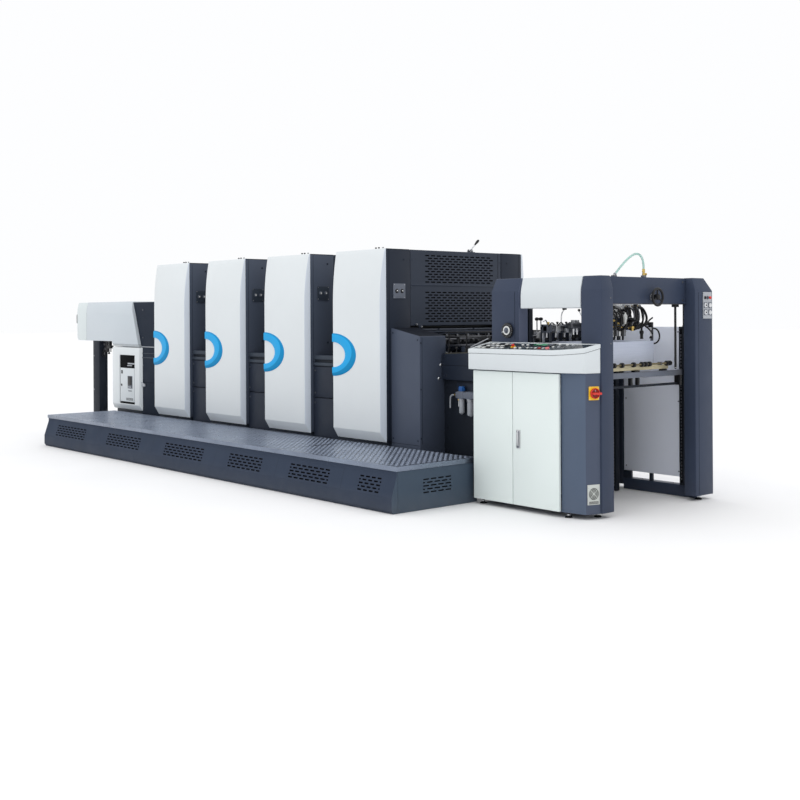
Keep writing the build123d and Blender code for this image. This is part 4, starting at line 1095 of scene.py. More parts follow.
pc.add(pipe([(RX - 92, RY, RZ + 25), (RX - 118, RY, RZ + 23), (RX - 138, RY, RZ + 7), (RX - 142, RY, RZ - 35), (RX - 142, RY, RZ - 85)], 6, 12, 5), GREY_P)
pc.add(cyl((RX - 40, RY, RZ - 15), (RX - 40, RY, RZ - 67), 6, 14, 1), ALU)
pc.add(cyl((RX - 40, RY, RZ - 1), (RX - 40, RY, RZ - 17), 10, 6, 1), BRASS)
pc.done(replaces=["air_regulator"])

# ================================================================ feeder frame
ZF, ZT, TP = 1603.0, 1700.0, 26.0


def post(x0, x1, y0, y1, z0, cut, bev=6.0):
    """Folded-sheet post: the listed sides fold inwards above the fold line."""
    t = bmesh.new()
    ty = {"-y": TP, "+y": TP * 2.9}
    X0, X1 = x0 + (TP if "-x" in cut else 0), x1 - (TP if "+x" in cut else 0)
    Y0, Y1 = y0 + (ty["-y"] if "-y" in cut else 0), y1 - (ty["+y"] if "+y" in cut else 0)
    rows = [[t.verts.new((a, b, z)) for a, b in q] for q, z in (
        (((x0, y0), (x1, y0), (x1, y1), (x0, y1)), z0), (((x0, y0), (x1, y0), (x1, y1), (x0, y1)), ZF), (((X0, Y0), (X1, Y0), (X1, Y1), (X0, Y1)), ZT))]
    for a, b in zip(rows, rows[1:]):
        for k in range(4):
            t.faces.new((a[k], a[(k + 1) % 4], b[(k + 1) % 4], b[k]))
    t.faces.new(rows[0][::-1])
    t.faces.new(rows[2])
    bmesh.ops.recalc_face_normals(t, faces=t.faces)
    return bevel(t, bev, 3, 10)


pc = Piece("feeder_post_front_left", POST)
# its +X faces take the lighter post paint: painted light
pc.add(post(2957, 3238, -324, -219, 1016, ("-y", "-x")), POST, lambda f: f.normal.x > 0.8, POST_SIDE_LIT)
pc.add(box(3199.0, 3201.4, -324.8, -323.6, 1240, 1600, 0), BLACK_S)
pc.add(lathe((3135, -323, 1308), (0, -1, 0), [(0, 0), (46, 0), (46, 3), (43, 5), (0, 5)], 48), BLACK)
pc.add(cyl((3135, -326, 1308), (3135, -348, 1308), 7.9, 20, 0.5), STEEL)
pc.done(replaces=["feeder_post_operator_left"])
pc = Piece("feeder_post_front_right", POST)
pc.add(post(3840, 4025, -324, -193, 36, ("-y", "+x")), POST)
for zz in (1540, 1220):
    pc.add(lathe((4025, -222, zz), (1, 0, 0), [(0, -0.5), (5.5, -0.5), (5.5, 0.8), (4, 2.2), (0, 2.4)], 16), STEEL_D)
pc.done(replaces=["feeder_post_operator_right"])
pc = Piece("feeder_posts_rear", POST)
# the rear-left post is in the darker charcoal instead of the post paint: painted shade
pc.add(post(2957, 3238, 912, 1017, 36, ("+y", "-x")), CHARCOAL)
pc.add(post(3918, 4025, 790, 1017, 36, ("+y", "+x")), POST)
pc.add(box(4024.4, 4025.6, 832.0, 834.2, 50, 1590, 0), BLACK_S)
for xx in (2990, 3205, 3945, 3998):
    for zz in (90, 800, 1540):
        pc.add(bolt((xx, 1017, zz), (0, 1, 0), 6, 4), STEEL_D)
pc.done(replaces=["feeder_posts_drive"])

pc = Piece("feeder_white_hood", WHITE_T)
pc.add(prism([(-330, 1474), (-330, 1560), (-329.2, 1580), (-327, 1600), (-323.4, 1620), (-318.4, 1642), (-312, 1668), (-304, ZT), (-246, ZT), (-246, 1474)], "x", 3265, 3839, 4.0, 3, 12), WHITE_T)
pc.add(box(3266, 3838, -326, -250, 1471.5, 1475.5, 0.8), GREY_P)
pc.done(replaces=["feeder_hood"])

pc = Piece("feeder_beams", POST)
pc.add(box(3892, 3937, -193, 790, 1500, 1698, 4.0, 3), POST)
pc.add(lathe((3937, 373, 1552), (1, 0, 0), [(0, 0), (30, 0), (30, 5), (24, 8), (24, 21), (22, 22), (0, 22)], 36), STEEL_D)
pc.add(cyl((3957, 373, 1552), (3993, 373, 1552), 9.9, 24, 1), STEEL)
pc.add(box(2997, 3047, -219, 912, 1520, 1690, 4.0, 3), POST)
pc.add(box(3238, 3918, 927, 977, 1520, 1690, 4.0, 3), POST)
pc.add(box(3888, 3941, -190, 787, 1497.5, 1503, 1.0), STEEL_D)
for yy in (-160, 757):
    for zz in (1530, 1668):
        pc.add(bolt((3937, yy, zz), (1, 0, 0), 6, 4), STEEL_D)
for k in range(4):
    a = rad(45 + 90 * k)
    pc.add(bolt((3942, 373 + 25.5 * math.cos(a), 1552 + 25.5 * math.sin(a)), (1, 0, 0), 2.2, 2.0), STEEL)
# clamps of the guide rods
pc.add(box(3890, 3926, 676, 724, 1478, 1501, 3.0), BLACK)
pc.add(box(3800, 3836, 918, 950, 1500, 1521, 3.0), BLACK)
# sockets of the main suction hose
pc.add(lathe((3914, 205, 1501), (0, 0, -1), [(0, 0), (15, 0), (15, 10), (12, 12), (12, 20), (9.2, 21), (0, 21)], 24), BLACK)
pc.done(replaces=["feeder_top_beams"])

pc = Piece("feeder_floor_rails", POST)
pc.add(box(3238, 3918, 917, 997, 0, 90, 4.0), POST)
pc.add(box(2997, 3047, -192, 912, 0, 90, 4.0), POST)
for xa, xb in ((3240, 3316), (3496, 3524)):
    pc.add(box(xa, xb, 917, 941, 88, 150, 2.0), CHARCOAL)
for xx in (3400, 3700):
    pc.add(bolt((xx, 957, 89.5), (0, 0, 1), 8, 5), STEEL_D)
pc.done(replaces=["feeder_base_rails"])
# sheet panel on the drive side behind the pile, in a paint brighter than its own that stands for the light it lacks:
# painted light
pc = Piece("side_panel_sheet", SIDE_PANEL_LIT)
pc.add(box(3239, 3795, 926, 941, 150, 1325, 3.0, 3), SIDE_PANEL_LIT)
for xx in (3262, 3772):
    for zz in (190, 740, 1285):
        pc.add(lathe((xx, 926, zz), (0, -1, 0), [(0, -0.5), (6, -0.5), (6, 0.8), (4.4, 2.2), (0, 2.4)], 16), STEEL_D)
        pc.add(lathe((xx, 941, zz), (0, 1, 0), [(0, -0.5), (6, -0.5), (6, 0.8), (4.4, 2.2), (0, 2.4)], 16), STEEL_D)
pc.done(replaces=["feeder_side_panel"])

# handwheel and dial
HWC = Vector((3987, 373, 1552))
pc = Piece("handwheel", BLACK)
pc.add(torus(HWC, (1, 0, 0), 62, 9, 64, 16), BLACK)
pc.add(lathe((3964, 373, 1552), (1, 0, 0), [(10.1, 0), (20, 0), (21, 2), (21, 30), (17, 37), (10, 39), (0, 39), (0, 31), (10.1, 31)], 36), BLACK)
for k in range(3):
    a = rad(90 + 120 * k)
    pc.add(lathe((3984, 373 + 16 * math.cos(a), 1552 + 16 * math.sin(a)), (0.03, math.cos(a), math.sin(a)), [(0, 0), (8.5, 0), (6.4, 14), (6.0, 30), (7.0, 42), (0, 44)], 18), BLACK)
pc.add(lathe((4003, 373, 1552), (1, 0, 0), [(0, 0), (8, 0), (7, 1.2), (0, 1.4)], 20), BLACK)
pc.done("handwheel", ["feeder_handwheel"])
DX, DZ = 3135.0, 1308.0
pc = Piece("dial_knob", BLACK)
pc.add(lathe((DX, -333, DZ), (0, -1, 0), [(8.1, 0), (53, 0), (57, 3), (57, 8), (55, 11), (46, 13), (8.1, 13)], 64), BLACK)
pc.add(lathe((DX, -345.4, DZ), (0, -1, 0), [(24, 0), (34, 0), (34, 2.2), (32.5, 4.6), (26.5, 5.4), (24, 4.4)], 56), CREAM)
pc.add(lathe((DX, -345, DZ), (0, -1, 0), [(0, 0), (24.5, 0), (24.5, 3.4), (21, 6.5), (12, 8), (11, 12), (8, 14.5), (0, 14.8)], 40), GREY_D)
for k in range(3):
    a = rad(180 + 120 * k)
    pc.add(cyl((DX + 10 * math.cos(a), -349, DZ + 10 * math.sin(a)), (DX + 25 * math.cos(a), -348.5, DZ + 25 * math.sin(a)), 3.0, 12, 0.8), BLACK)
for k in range(24):
    a = 2 * math.pi * k / 24
    pc.add(cyl((DX + 46 * math.cos(a), -345.6, DZ + 46 * math.sin(a)), (DX + 52 * math.cos(a), -344.4, DZ + 52 * math.sin(a)), 0.9, 6, 0), GREY_P)
pc.add(prism([(DX - 33, DZ - 2), (DX - 47, DZ - 10), (DX - 47, DZ - 20), (DX - 31, DZ - 12)], "y", -351, -345, 1.0), GREY_P)
pc.done("dial", ["feeder_dial"])

# ================================================================ suction head and pile
pc = Piece("suction_unit", STEEL)
HY = 373.0
pc.add(cyl((3047, HY, 1552), (3892, HY, 1552), 15.8, 32, 1), STEEL)
pc.add(box(3440, 3640, HY - 34, HY + 34, 1404, 1580, 8.0, 3), ALU)
pc.add(lathe((3430, HY, 1552), (1, 0, 0), [(16, 0), (30, 0), (30, 12), (26, 14), (16, 14)], 32), STEEL_D)
pc.add(lathe((3636, HY, 1552), (1, 0, 0), [(16, 0), (30, 0), (30, 12), (26, 14), (16, 14)], 32), STEEL_D)
pc.add(box(3400, 3690, HY - 150, HY + 150, 1306, 1396, 8.0, 3), CHARCOAL)
pc.add(box(3410, 3680, HY - 140, HY + 140, 1394, 1400, 2.0), ALU)
pc.add(box(3360, 3420, HY - 300, HY + 300, 1318, 1362, 5.0, 3), STEEL_D)
pc.add(cyl((3700, HY - 306, 1340), (3700, HY + 306, 1340), 10, 24, 1), CHROME)
pc.add(box(3678, 3712, HY - 18, HY + 18, 1324, 1356, 4.0), ALU)
for s in (-1, 1):
    ya, yb = sorted((HY + s * 306, HY + s * 320))
    pc.add(box(3689, 3711, ya, yb, 1178 if s > 0 else 1252, 1356, 3.0), STEEL_D)
# valves, levers and sucker bodies on the head
for k, yy in enumerate((HY - 118, HY - 66, HY + 62, HY + 116)):
    pc.add(lathe((3560 + 22 * (k % 2), yy, 1398), (0, 0, 1), [(0, 0), (21, 0), (21, 8), (16, 11), (16, 40), (19, 42), (19, 52), (12, 56), (7, 58), (7, 72), (0, 72)], 26), (ALU, BRASS, ALU, STEEL)[k])
    pc.add(box(3470, 3520, yy - 12, yy + 12, 1398, 1440, 4.0), (BLACK, ALU, CREAM, BLACK)[k])
    pc.add(lathe((3495, yy, 1438), (0, 0, 1), [(0, 0), (5, 0), (5, 16), (11, 19), (12, 26), (8, 31), (0, 32)], 20), BLACK)
pc.add(lathe((3600, HY + 30, 1398), (0, 0, 1), [(0, 0), (17, 0), (17, 62), (15, 64), (0, 64)], 28), CREAM)
for yy in (HY - 250, HY - 210, HY + 205, HY + 252):
    pc.add(cyl((3390, yy, 1372), (3390, yy, 1268), 7, 16, 1), CHROME)
    pc.add(lathe((3390, yy, 1272), (0, 0, -1), [(0, 0), (10, 0), (10, 10), (14, 16), (15, 24), (0, 24)], 22), RUBBER)
    pc.add(box(3372, 3408, yy - 10, yy + 10, 1360, 1384, 3.0), ALU)
for yy in (HY - 286, HY - 180, HY + 170, HY + 284):
    pc.add(box(3684, 3718, yy - 13, yy + 13, 1322, 1360, 4.0), BLACK)
    pc.add(cyl((3712, yy, 1352), (3712, yy, 1250), 5.5, 14, 1), CHROME)
    pc.add(lathe((3712, yy, 1256), (0, 0, -1), [(0, 0), (8, 0), (8, 6), (13, 12), (13.5, 18), (0, 18)], 20), RUBBER)
# front bar of the head with its castings, sucker stems and knobs
pc.add(box(3296, 3340, -120, 730, 1298, 1344, 5.0, 3), STEEL_D)
pc.add(box(3280, 3300, -120, 730, 1328, 1352, 3.0), CHARCOAL)
for yy in (150, 590):
    pc.add(box(3336, 3364, yy - 30, yy + 30, 1320, 1345, 3.0), ALU)
for k, yy in enumerate(range(-96, 720, 102)):
    pc.add(box(3284, 3346, yy - 24, yy + 24, 1288, 1350, 6.0, 3), ALU if k % 2 else GREY_D)
    pc.add(cyl((3314, yy, 1292), (3314, yy, 1246), 7, 16, 1), STEEL)
    pc.add(lathe((3314, yy, 1252), (0, 0, -1), [(0, 0), (11, 0), (11, 6), (15, 10), (16, 16), (0, 16)], 22), RUBBER)
    pc.add(lathe((3314, yy + 20, 1348), (0, 0, 1), [(0, 0), (6, 0), (6, 10), (10, 13), (10, 20), (6, 23), (0, 23.5)], 20), BLACK if k % 3 else BRASS)
    pc.add(pipe([(3340, yy - 14, 1336), (3362, yy - 10, 1346), (3378, yy - 2, 1372), (3398, yy + 6, 1386), (3424, yy + 8, 1388)] if HY - 140 < yy < HY + 140 else
                [(3340, yy - 14, 1336), (3356, yy - 12, 1350), (3368, yy - 4, 1364), (3380, yy + 4, 1358), (3384, yy + 8, 1346)], 5.0, 12, 4), BLACK)
# levers with ball ends, a cam lever and rigid air pipes
for yy in (HY - 160, HY - 100):
    pc.add(pipe([(3420, yy, 1385), (3400, yy - 8, 1420), (3385, yy - 14, 1452)], 4.5, 12, 4), CHROME)
    pc.add(ball((3384, yy - 15, 1458), 11), BLACK)
pc.add(pipe([(3330, HY - 280, 1470), (3322, HY - 300, 1440), (3318, HY - 306, 1390), (3320, HY - 300, 1320), (3352, HY - 290, 1300)], 4.2, 12, 6), CHROME)
pc.add(box(3344, 3372, HY - 306, HY - 280, 1288, 1320, 3.0), ALU)
pc.add(box(3318, 3342, HY - 296, HY - 268, 1462, 1488, 3.0), BLACK)
pc.add(cyl((3330, HY - 282, 1486), (3330, HY - 282, 1520), 5, 14, 1), STEEL)
pc.add(lathe((3330, HY - 282, 1518), (0, 0, 1), [(0, 0), (12, 0), (14, 4), (12, 12), (0, 14)], 22), BLACK)
pc.add(pipe([(3640, HY + 100, 1400), (3650, HY + 108, 1440), (3640, HY + 92, 1474), (3610, HY + 62, 1484), (3580, HY + 40, 1470)], 6.5, 14, 6), STEEL_D)
pc.add(pipe([(3520, HY - 90, 1440), (3530, HY - 110, 1478), (3560, HY - 112, 1500), (3600, HY - 80, 1496), (3630, HY - 34, 1476)], 6.5, 14, 6), BLACK)
pc.add(pipe([(3670, HY + 60, 1398), (3690, HY + 62, 1430), (3700, HY + 40, 1462), (3684, HY + 8, 1480), (3640, HY - 6, 1482)], 7.0, 14, 6), BLACK)
pc.add(pipe([(3680, HY - 60, 1380), (3716, HY - 62, 1392), (3738, HY - 40, 1420), (3730, HY - 4, 1452), (3690, HY + 14, 1470), (3640, HY + 18, 1470)], 7.5, 14, 6), BLACK)
# bundle of moulded air pipes behind the head: unions on its tail face, bends up to a manifold
pc.add(box(3640, 3704, HY - 60, HY + 176, 1462, 1500, 6.0, 3), ALU)
pc.add(box(3636, 3660, HY - 20, HY + 20, 1430, 1470, 4.0), CHARCOAL)
for k in range(9):
    yy = HY - 40 + 25 * k
    out = 36 + 15 * ((k * 5) % 4)
    rr = (8.0, 6.5, 9.0, 7.0, 8.5)[k % 5]
    y2 = HY - 46 + 25.5 * k + (10, -8, 4)[k % 3]
    low = 1324 + 16 * (k % 3)
    pc.add(pipe([(3688, yy, low), (3688 + out * 0.6, yy + 6, low - 6), (3690 + out, yy + 12, low + 30), (3694 + out, yy + 8, low + 76), (3696 + out * 0.7, y2, 1470), (3700, y2, 1480)], rr, 14, 6), (BLACK, RUBBER, STEEL_D)[k % 3] if k != 4 else BLACK)
    pc.add(lathe((3688, yy, low), (1, 0, 0), [(0, 0), (rr + 4, 0), (rr + 4, 9), (rr + 2, 11), (rr + 2, 15), (0, 15)], 6 if k % 2 else 22), (BRASS, STEEL, CREAM)[k % 3])
    pc.add(lathe((3702, y2, 1481), (1, 0, 0), [(0, 0), (rr + 3.5, 0), (rr + 3.5, 8), (rr + 1.5, 10), (0, 10)], 6 if k % 2 == 0 else 22), (STEEL, BRASS, BLACK)[k % 3])
    pc.add(lathe((3660, y2, 1499), (0, 0, 1), [(0, 0), (8, 0), (8, 5), (5, 7), (5, 14), (9, 17), (9, 22), (0, 23)], 18), (BLACK, BRASS, STEEL)[(k + 1) % 3])
for k, yy in enumerate((176, 206, 238, 268, 300, 326)):
    rr = (7.0, 5.5, 8.0, 6.0, 7.5, 6.5)[k]
    pc.add(box(3686, 3722, yy - 12, yy + 12, 1262, 1300 + 12 * (k % 3), 4.0), (ALU, BLACK, STEEL_D)[k % 3])
    pc.add(cyl((3704, yy, 1264), (3704, yy, 1232), 6, 14, 1), (STEEL, BLACK)[k % 2])
    pc.add(pipe([(3706, yy, 1296), (3722, yy + 3, 1322), (3734, yy + 10, 1364), (3728, yy + 16, 1410), (3706, yy + 24, 1448), (3668, yy + 28, 1470), (3636, yy + 20, 1474)] if k % 2 else
                [(3706, yy, 1306), (3730, yy + 2, 1316), (3746, yy + 8, 1346), (3744, yy + 14, 1396), (3720, yy + 18, 1430), (3690, yy + 16, 1442), (3640, yy + 10, 1440)], rr, 14, 6), (BLACK, RUBBER)[k % 2])
    pc.add(lathe((3712, yy + 4, 1330 + 14 * (k % 3)), (1, 0, 0), [(0, 0), (9, 0), (9, 12), (6, 14), (6, 20), (0, 20)], 6), (BRASS, STEEL, BRASS)[k % 3])
pc.add(lathe((3738, 310, 1352), (0, 0, 1), [(0, 0), (13, 0), (15, 4), (15, 66), (12, 72), (6, 74), (6, 86), (0, 86)], 28), CREAM)
pc.add(lathe((3738, 392, 1300), (0, 0, 1), [(0, 0), (11, 0), (11, 14), (16, 17), (16, 34), (9, 38), (0, 38)], 24), BRASS)
pc.add(pipe([(3712, HY + 168, 1330), (3720, HY + 190, 1338), (3726, HY + 214, 1352), (3728, HY + 244, 1378), (3724, HY + 290, 1398)], 6.0, 14, 5), BLACK)
pc.add(pipe([(3712, HY + 150, 1352), (3730, HY + 176, 1340), (3738, HY + 214, 1318), (3734, HY + 262, 1290), (3728, HY + 284, 1276)], 6.5, 14, 5), BLACK)
pc.add(box(3704, 3722, HY + 250, HY + 306, 1346, 1364, 4.0), BLACK)
pc.add(lathe((3726, HY + 150, 1236), (0, 0, 1), [(0, 0), (12, 0), (12, 40), (16, 43), (16, 62), (9, 66), (0, 66)], 24), BLACK)
pc.add(pipe([(3726, HY + 150, 1300), (3730, HY + 144, 1330), (3744, HY + 120, 1352), (3752, HY + 84, 1340), (3742, HY + 60, 1316), (3716, HY + 50, 1306), (3690, HY + 50, 1312)], 7.5, 14, 6), BLACK)
for k, yy in enumerate((HY - 130, HY - 40, HY + 48, HY + 132)):
    pc.add(bolt((3690, yy, 1340), (1, 0, 0), 7, 5), STEEL)
    pc.add(lathe((3690, yy - 14, 1378), (1, 0, 0), [(0, 0), (9, 0), (9, 6), (6.5, 8), (6.5, 16), (0, 16)], 18), BRASS)
# hose ends: sockets on the head and on the side bar
pc.add(lathe((3688, 358.7, 1378), (1, 0, 0), [(0, 0), (14, 0), (14, 8), (11, 10), (11, 18), (9.2, 19), (0, 19)], 24), BLACK)
for zz in (1316, 1197):
    pc.add(lathe((3700, 691, zz), (0, 1, 0), [(0, 0), (9.5, 0), (9.5, 7), (7.5, 9), (7.5, 15), (6.2, 16), (0, 16)], 20), BLACK)
pc.done(replaces=["suction_head"])

pc = Piece("pile_table", WOOD)
for k in range(5):
    a = -120 + 849 * k / 5
    pc.add(box(3250, 3820, a + 0.6, a + 849 / 5 - 0.6, 1007, 1037, 1.5), WOOD)
pc.done(replaces=["pile_board"])
pc = Piece("sheet_stack", PAPER)
zc = 1037.0
while zc < 1219.5:
    h = min(rng.uniform(7.0, 15.0), 1220 - zc)
    if 1220 - zc - h < 3:
        h = 1220 - zc
    dx, dy = rng.uniform(0.0, 1.6), rng.uniform(0.0, 1.6)
    pc.add(box(3262 + dx, 3726 - rng.uniform(0.0, 1.6), 16 + dy, 676 - rng.uniform(0.0, 1.6), zc, zc + h, 0.5, 1), PAPER)
    zc += h
pc.done(replaces=["paper_pile"])

# hoist columns in the darker recess charcoal: painted shade
pc = Piece("hoist_columns", CHARCOAL)
for gx, gy, z0, z1 in ((3179.0, -192.0, 0, 1690.0), (3250.0, 752.0, 0, 1690.0), (3788.0, -192.0, 0, 1312.0), (3796.0, 900.0, 90, 1327.0)):
    pc.add(box(gx, gx + 44, gy, gy + 44, z0, z1, 3.0), CHARCOAL_SHADE)
    yi, s = (gy, -1) if gy > 0 else (gy + 44, 1)
    pc.add(box(gx + 14, gx + 30, yi - 0.6, yi + 0.6, z0 + 20, z1 - 20, 0), BLACK_S)
    # roller chain along the column
    for z in range(int(z0) + 40, 1260, 26):
        pc.add(box(gx + 17, gx + 27, yi + s * 2.5 - 2.0, yi + s * 2.5 + 2.0, z, z + 18, 1.0, 1), STEEL_D)
pc.done(replaces=["hoist_guides"])
pc = Piece("hoist_bar_set", STEEL)
pc.add(box(3796, 3832, -148, 900, 951, 993, 3.0), GREY_M)
for yy in (-60, 300, 640):
    pc.add(box(3797, 3831, yy, yy + 60, 992, 1007, 2.0), BLACK)
pc.add(box(3254, 3290, -148, 752, 969, 1007, 3.0), GREY_D)
pc.add(box(3187, 3256, -148, -122, 969, 1007, 3.0), GREY_D)
# lower bar in the darker recess charcoal: painted shade
pc.add(box(3796, 3828, -148, 900, 879, 896, 2.0), CHARCOAL_SHADE)
for yy in (269, 353):
    pc.add(box(3800, 3826, yy - 12, yy + 12, 894, 953, 3.0), BLACK)
for yy in (-140, 846):
    pc.add(box(3794, 3836, yy - 6, yy + 34, 876, 954, 4.0), BLACK)
pc.done(replaces=["hoist_bars"])
pc = Piece("tail_bar", STEEL)
pc.add(cyl((3842, -140, 1050), (3842, 745, 1050), 7, 20, 1), WOOD_B)
for yy in (-105, 603):
    pc.add(box(3816, 3852, yy - 7, yy + 7, 1037, 1062, 3.0), STEEL_D)
for yy in (-60, 40, 133, 271, 371, 415, 462, 681, 714):
    pc.add(lathe((3842, yy - 13, 1050), (0, 1, 0), [(7, 0), (14, 0), (19, 3), (19, 23), (14, 26), (7, 26)], 28), BLACK)
pc.done(replaces=["tail_rod"])
pc = Piece("guide_rods", STEEL_D)
pc.add(lathe((3908, 700, 1007), (0, 0, 1), [(0, 0), (6, 0), (9, 5), (9, 488), (0, 488)], 20), BLACK)
pc.add(lathe((3818, 934, 1327), (0, 0, 1), [(0, 0), (10, 0), (10, 8), (7, 10), (7, 190), (0, 190)], 20), BLACK)
pc.add(torus((3908, 700, 1017), (0, 0, 1), 9.5, 3, 24, 8), STEEL)
pc.done()

# push-button panel on the drive-side post
pc = Piece("post_button_panel", GREY_P)
pc.add(box(4025, 4033, 886, 997, 1389, 1593, 3.0, 3), GREY_P)
pc.add(lathe((4032, 941, 1550), (1, 0, 0), [(0, 0), (8, 0), (8, 19), (0, 19)], 32), GREY_D)
pc.add(lathe((4050, 941, 1550), (1, 0, 0), [(0, 0), (9.6, 0), (11, 3), (11, 9), (9, 13), (0, 14)], 32), RED)
pc.add(lathe((4032, 941, 1550), (1, 0, 0), [(0, 0), (14, 0), (14, 1.8), (0, 1.8)], 32), GREY_D)
pc.add(lathe((4032, 908, 1550), (1, 0, 0), [(0, 0), (12, 0), (12, 4), (9, 7), (0, 7.5)], 28), BLACK)
for zz in (1492, 1437):
    for yy, c in ((912, BLACK), (972, CREAM)):
        pc.add(box(4032.5, 4035, yy - 22, yy + 22, zz - 22, zz + 22, 1.0), GREY_D)
        chrome_button(pc, (4035, yy, zz), (1, 0, 0), 14.0, CHROME, c)
for yy in (893, 990):
    for zz in (1397, 1585):
        pc.add(lathe((4033, yy, zz), (1, 0, 0), [(0, -0.5), (3.2, -0.5), (3.2, 0.8), (2.4, 1.6), (0, 1.6)], 14), STEEL)
pc.done(replaces=["feeder_button_panel"])

# ================================================================ cabinet and console
P1, P2, P3 = (3780.0, -473.0), (3976.0, -440.0), (4011.0, -324.0)
pc = Piece("cabinet_corner_post", BLUEGREY)
# front faces take the lighter blue-grey: painted light
pc.add(prism([P1, P2, P3, (3840, -324), (3840, -196), (3780, -196)], "z", 36, 1016, 4.0, 3), BLUEGREY, lambda f: f.normal.y < -0.8, CAB_FRONT_LIT)
pc.done(replaces=["cabinet_corner"])
pc = Piece("cabinet_shell", BLUEGREY)
pc.add(box(2932, 2952, -473, -196, 36, 1016, 3.0), BLUEGREY)
pc.add(box(2952, 3780, -212, -196, 36, 1016, 2.0), BLUEGREY)
pc.add(box(2952, 3780, -473, -212, 36, 56, 2.0), BLUEGREY)
# mounting plate and rails inside the cabinet
pc.add(box(3000, 3740, -216, -212, 110, 960, 1.0), GREY_P)
for zz in (300, 520, 740):
    pc.add(box(3030, 3710, -222, -216, zz - 17, zz + 17, 1.0), STEEL)
pc.done(replaces=["cabinet_left_side", "cabinet_back", "cabinet_floor"])
pc = Piece("cabinet_feet", STEEL)
for fx, fy in ((2975, -440), (3817, -440), (3938, -268), (2975, -230), (3970, 900), (3098, 965)):
    pc.add(lathe((fx, fy, 0), (0, 0, 1), [(0, 0), (26, 0), (26, 5), (20, 11), (11, 13), (9, 13), (9, 36), (0, 36)], 30), BLACK)
    pc.add(lathe((fx, fy, 16), (0, 0, 1), [(0, 0), (14, 0), (14, 9), (0, 9)], 6), STEEL)
pc.done(replaces=["levelling_feet"])


def door(x0, x1):
    return box(x0, x1, -500, -478, 41, 1008, 3.5, 4)


pc = Piece("door_left_panel", DOOR)
pc.add(door(2932, 3335), DOOR)
pc.add(box(2946, 3321, -478.5, -475.5, 60, 990, 1.0), GREY_P)
for zz in (160, 880):
    pc.add(cyl((2936, -475, zz - 40), (2936, -475, zz + 40), 3.0, 14, 0.6), STEEL)
pc.done("door_left", ["cabinet_door_left"])
pc = Piece("door_right_panel", DOOR)
pc.add(door(3340, 3782), DOOR)
pc.add(box(3354, 3768, -478.5, -475.5, 60, 990, 1.0), GREY_P)
pc.done("door_right", ["cabinet_door_right"])
pc = Piece("door_swing_handle", STEEL)
pc.add(box(3377, 3416, -505.5, -499.8, 455, 590, 5.0, 4), ALU)
pc.add(box(3383, 3410, -507, -505, 462, 583, 3.0, 3), GREY_D)
pc.add(prism([(-513.6, 478), (-507, 470), (-505.2, 470), (-505.2, 566), (-512, 572), (-513.6, 568)], "x", 3387, 3406, 2.0, 3), ALU)
pc.add(lathe((3396.5, -505.6, 577), (0, -1, 0), [(0, 0), (6.5, 0), (6.5, 2.4), (5.4, 3.2), (0, 3.2)], 20), CHROME)
pc.add(box(3395.7, 3397.3, -509.2, -508.7, 573, 581, 0), BLACK_S)
pc.done("door_right", ["door_handle"])

# console tray: body, seam and lid rim around the sunk panel
TRAY = [(2909, -530), (3690, -530), (3708, -529.4), (3725, -528), (3742, -525.4), (3760, -522), (3795, -514.4), (3830, -506), (3865, -495.4), (3900, -484), (3930, -473), (3955, -463), (3966, -458.4), (3974, -453), (3980, -446), (3984, -438), (4014, -334), (4016, -325), (2939, -325)]
SL = 56.0 / 226.0
ztop = lambda y: 1168 + SL * (y + 540)


def inset(pts, d):
    """Outline moved inwards by d (points run counter-clockwise)."""
    out, n = [], len(pts)
    for i in range(n):
        a, b, c = Vector(pts[i - 1]), Vector(pts[i]), Vector(pts[(i + 1) % n])
        e1, e2 = (b - a).normalized(), (c - b).normalized()
        n1, n2 = Vector((-e1.y, e1.x)), Vector((-e2.y, e2.x))
        m = (n1 + n2).normalized()
        out.append(tuple(b + m * (d / max(0.35, m.dot(n1)))))
    return out


def tray_part(outline, z_lo, z_hi):
    """Closed ring wall between two heights given as functions of y."""
    t = bmesh.new()
    lo = [t.verts.new((x, y, z_lo(y))) for x, y in outline]
    hi = [t.verts.new((x, y, z_hi(y))) for x, y in outline]
    n = len(outline)
    for i in range(n):
        t.faces.new((lo[i], lo[(i + 1) % n], hi[(i + 1) % n], hi[i]))
    t.faces.new(lo[::-1])
    t.faces.new(hi)
    bmesh.ops.recalc_face_normals(t, faces=t.faces)
    return t


pc = Piece("console_body", WHITE_T)
pc.add(bevel(tray_part(TRAY, lambda y: 1016.0, lambda y: ztop(y) - 34.0), 5.0, 3, 26), WHITE_T)
pc.add(tray_part(inset(TRAY, 4.0), lambda y: ztop(y) - 36.0, lambda y: ztop(y) - 29.0), BLACK_S)
# lid: outer wall, rounded rim and sunk floor
t = bmesh.new()
loops = []
for off, dz in ((0.0, -31.0), (0.0, -5.0), (1.5, -1.5), (5.0, 0.0), (19.0, 0.0), (22.0, -1.5), (23.0, -6.0)):
    o = inset(TRAY, off) if off else TRAY
    loops.append([t.verts.new((x, y, ztop(y) + dz)) for x, y in o])
n = len(TRAY)
for a, b in zip(loops, loops[1:]):
    for i in range(n):
        t.faces.new((a[i], a[(i + 1) % n], b[(i + 1) % n], b[i]))
t.faces.new(loops[-1])
t.faces.new(loops[0][::-1])
bmesh.ops.recalc_face_normals(t, faces=t.faces)
pc.add(t, WHITE_T)
pc.done(replaces=["console_tray"], smooth=40)

pc = Piece("console_face", PANEL)
face_out = inset(TRAY, 24.5)
pc.add(tray_part(face_out, lambda y: ztop(y) - 7.0, lambda y: ztop(y) - 1.0), PANEL)
nrm = Vector((0, -SL, 1)).normalized()


def on_panel(x, y):
    return Vector((x, y, ztop(y) - 1.0))


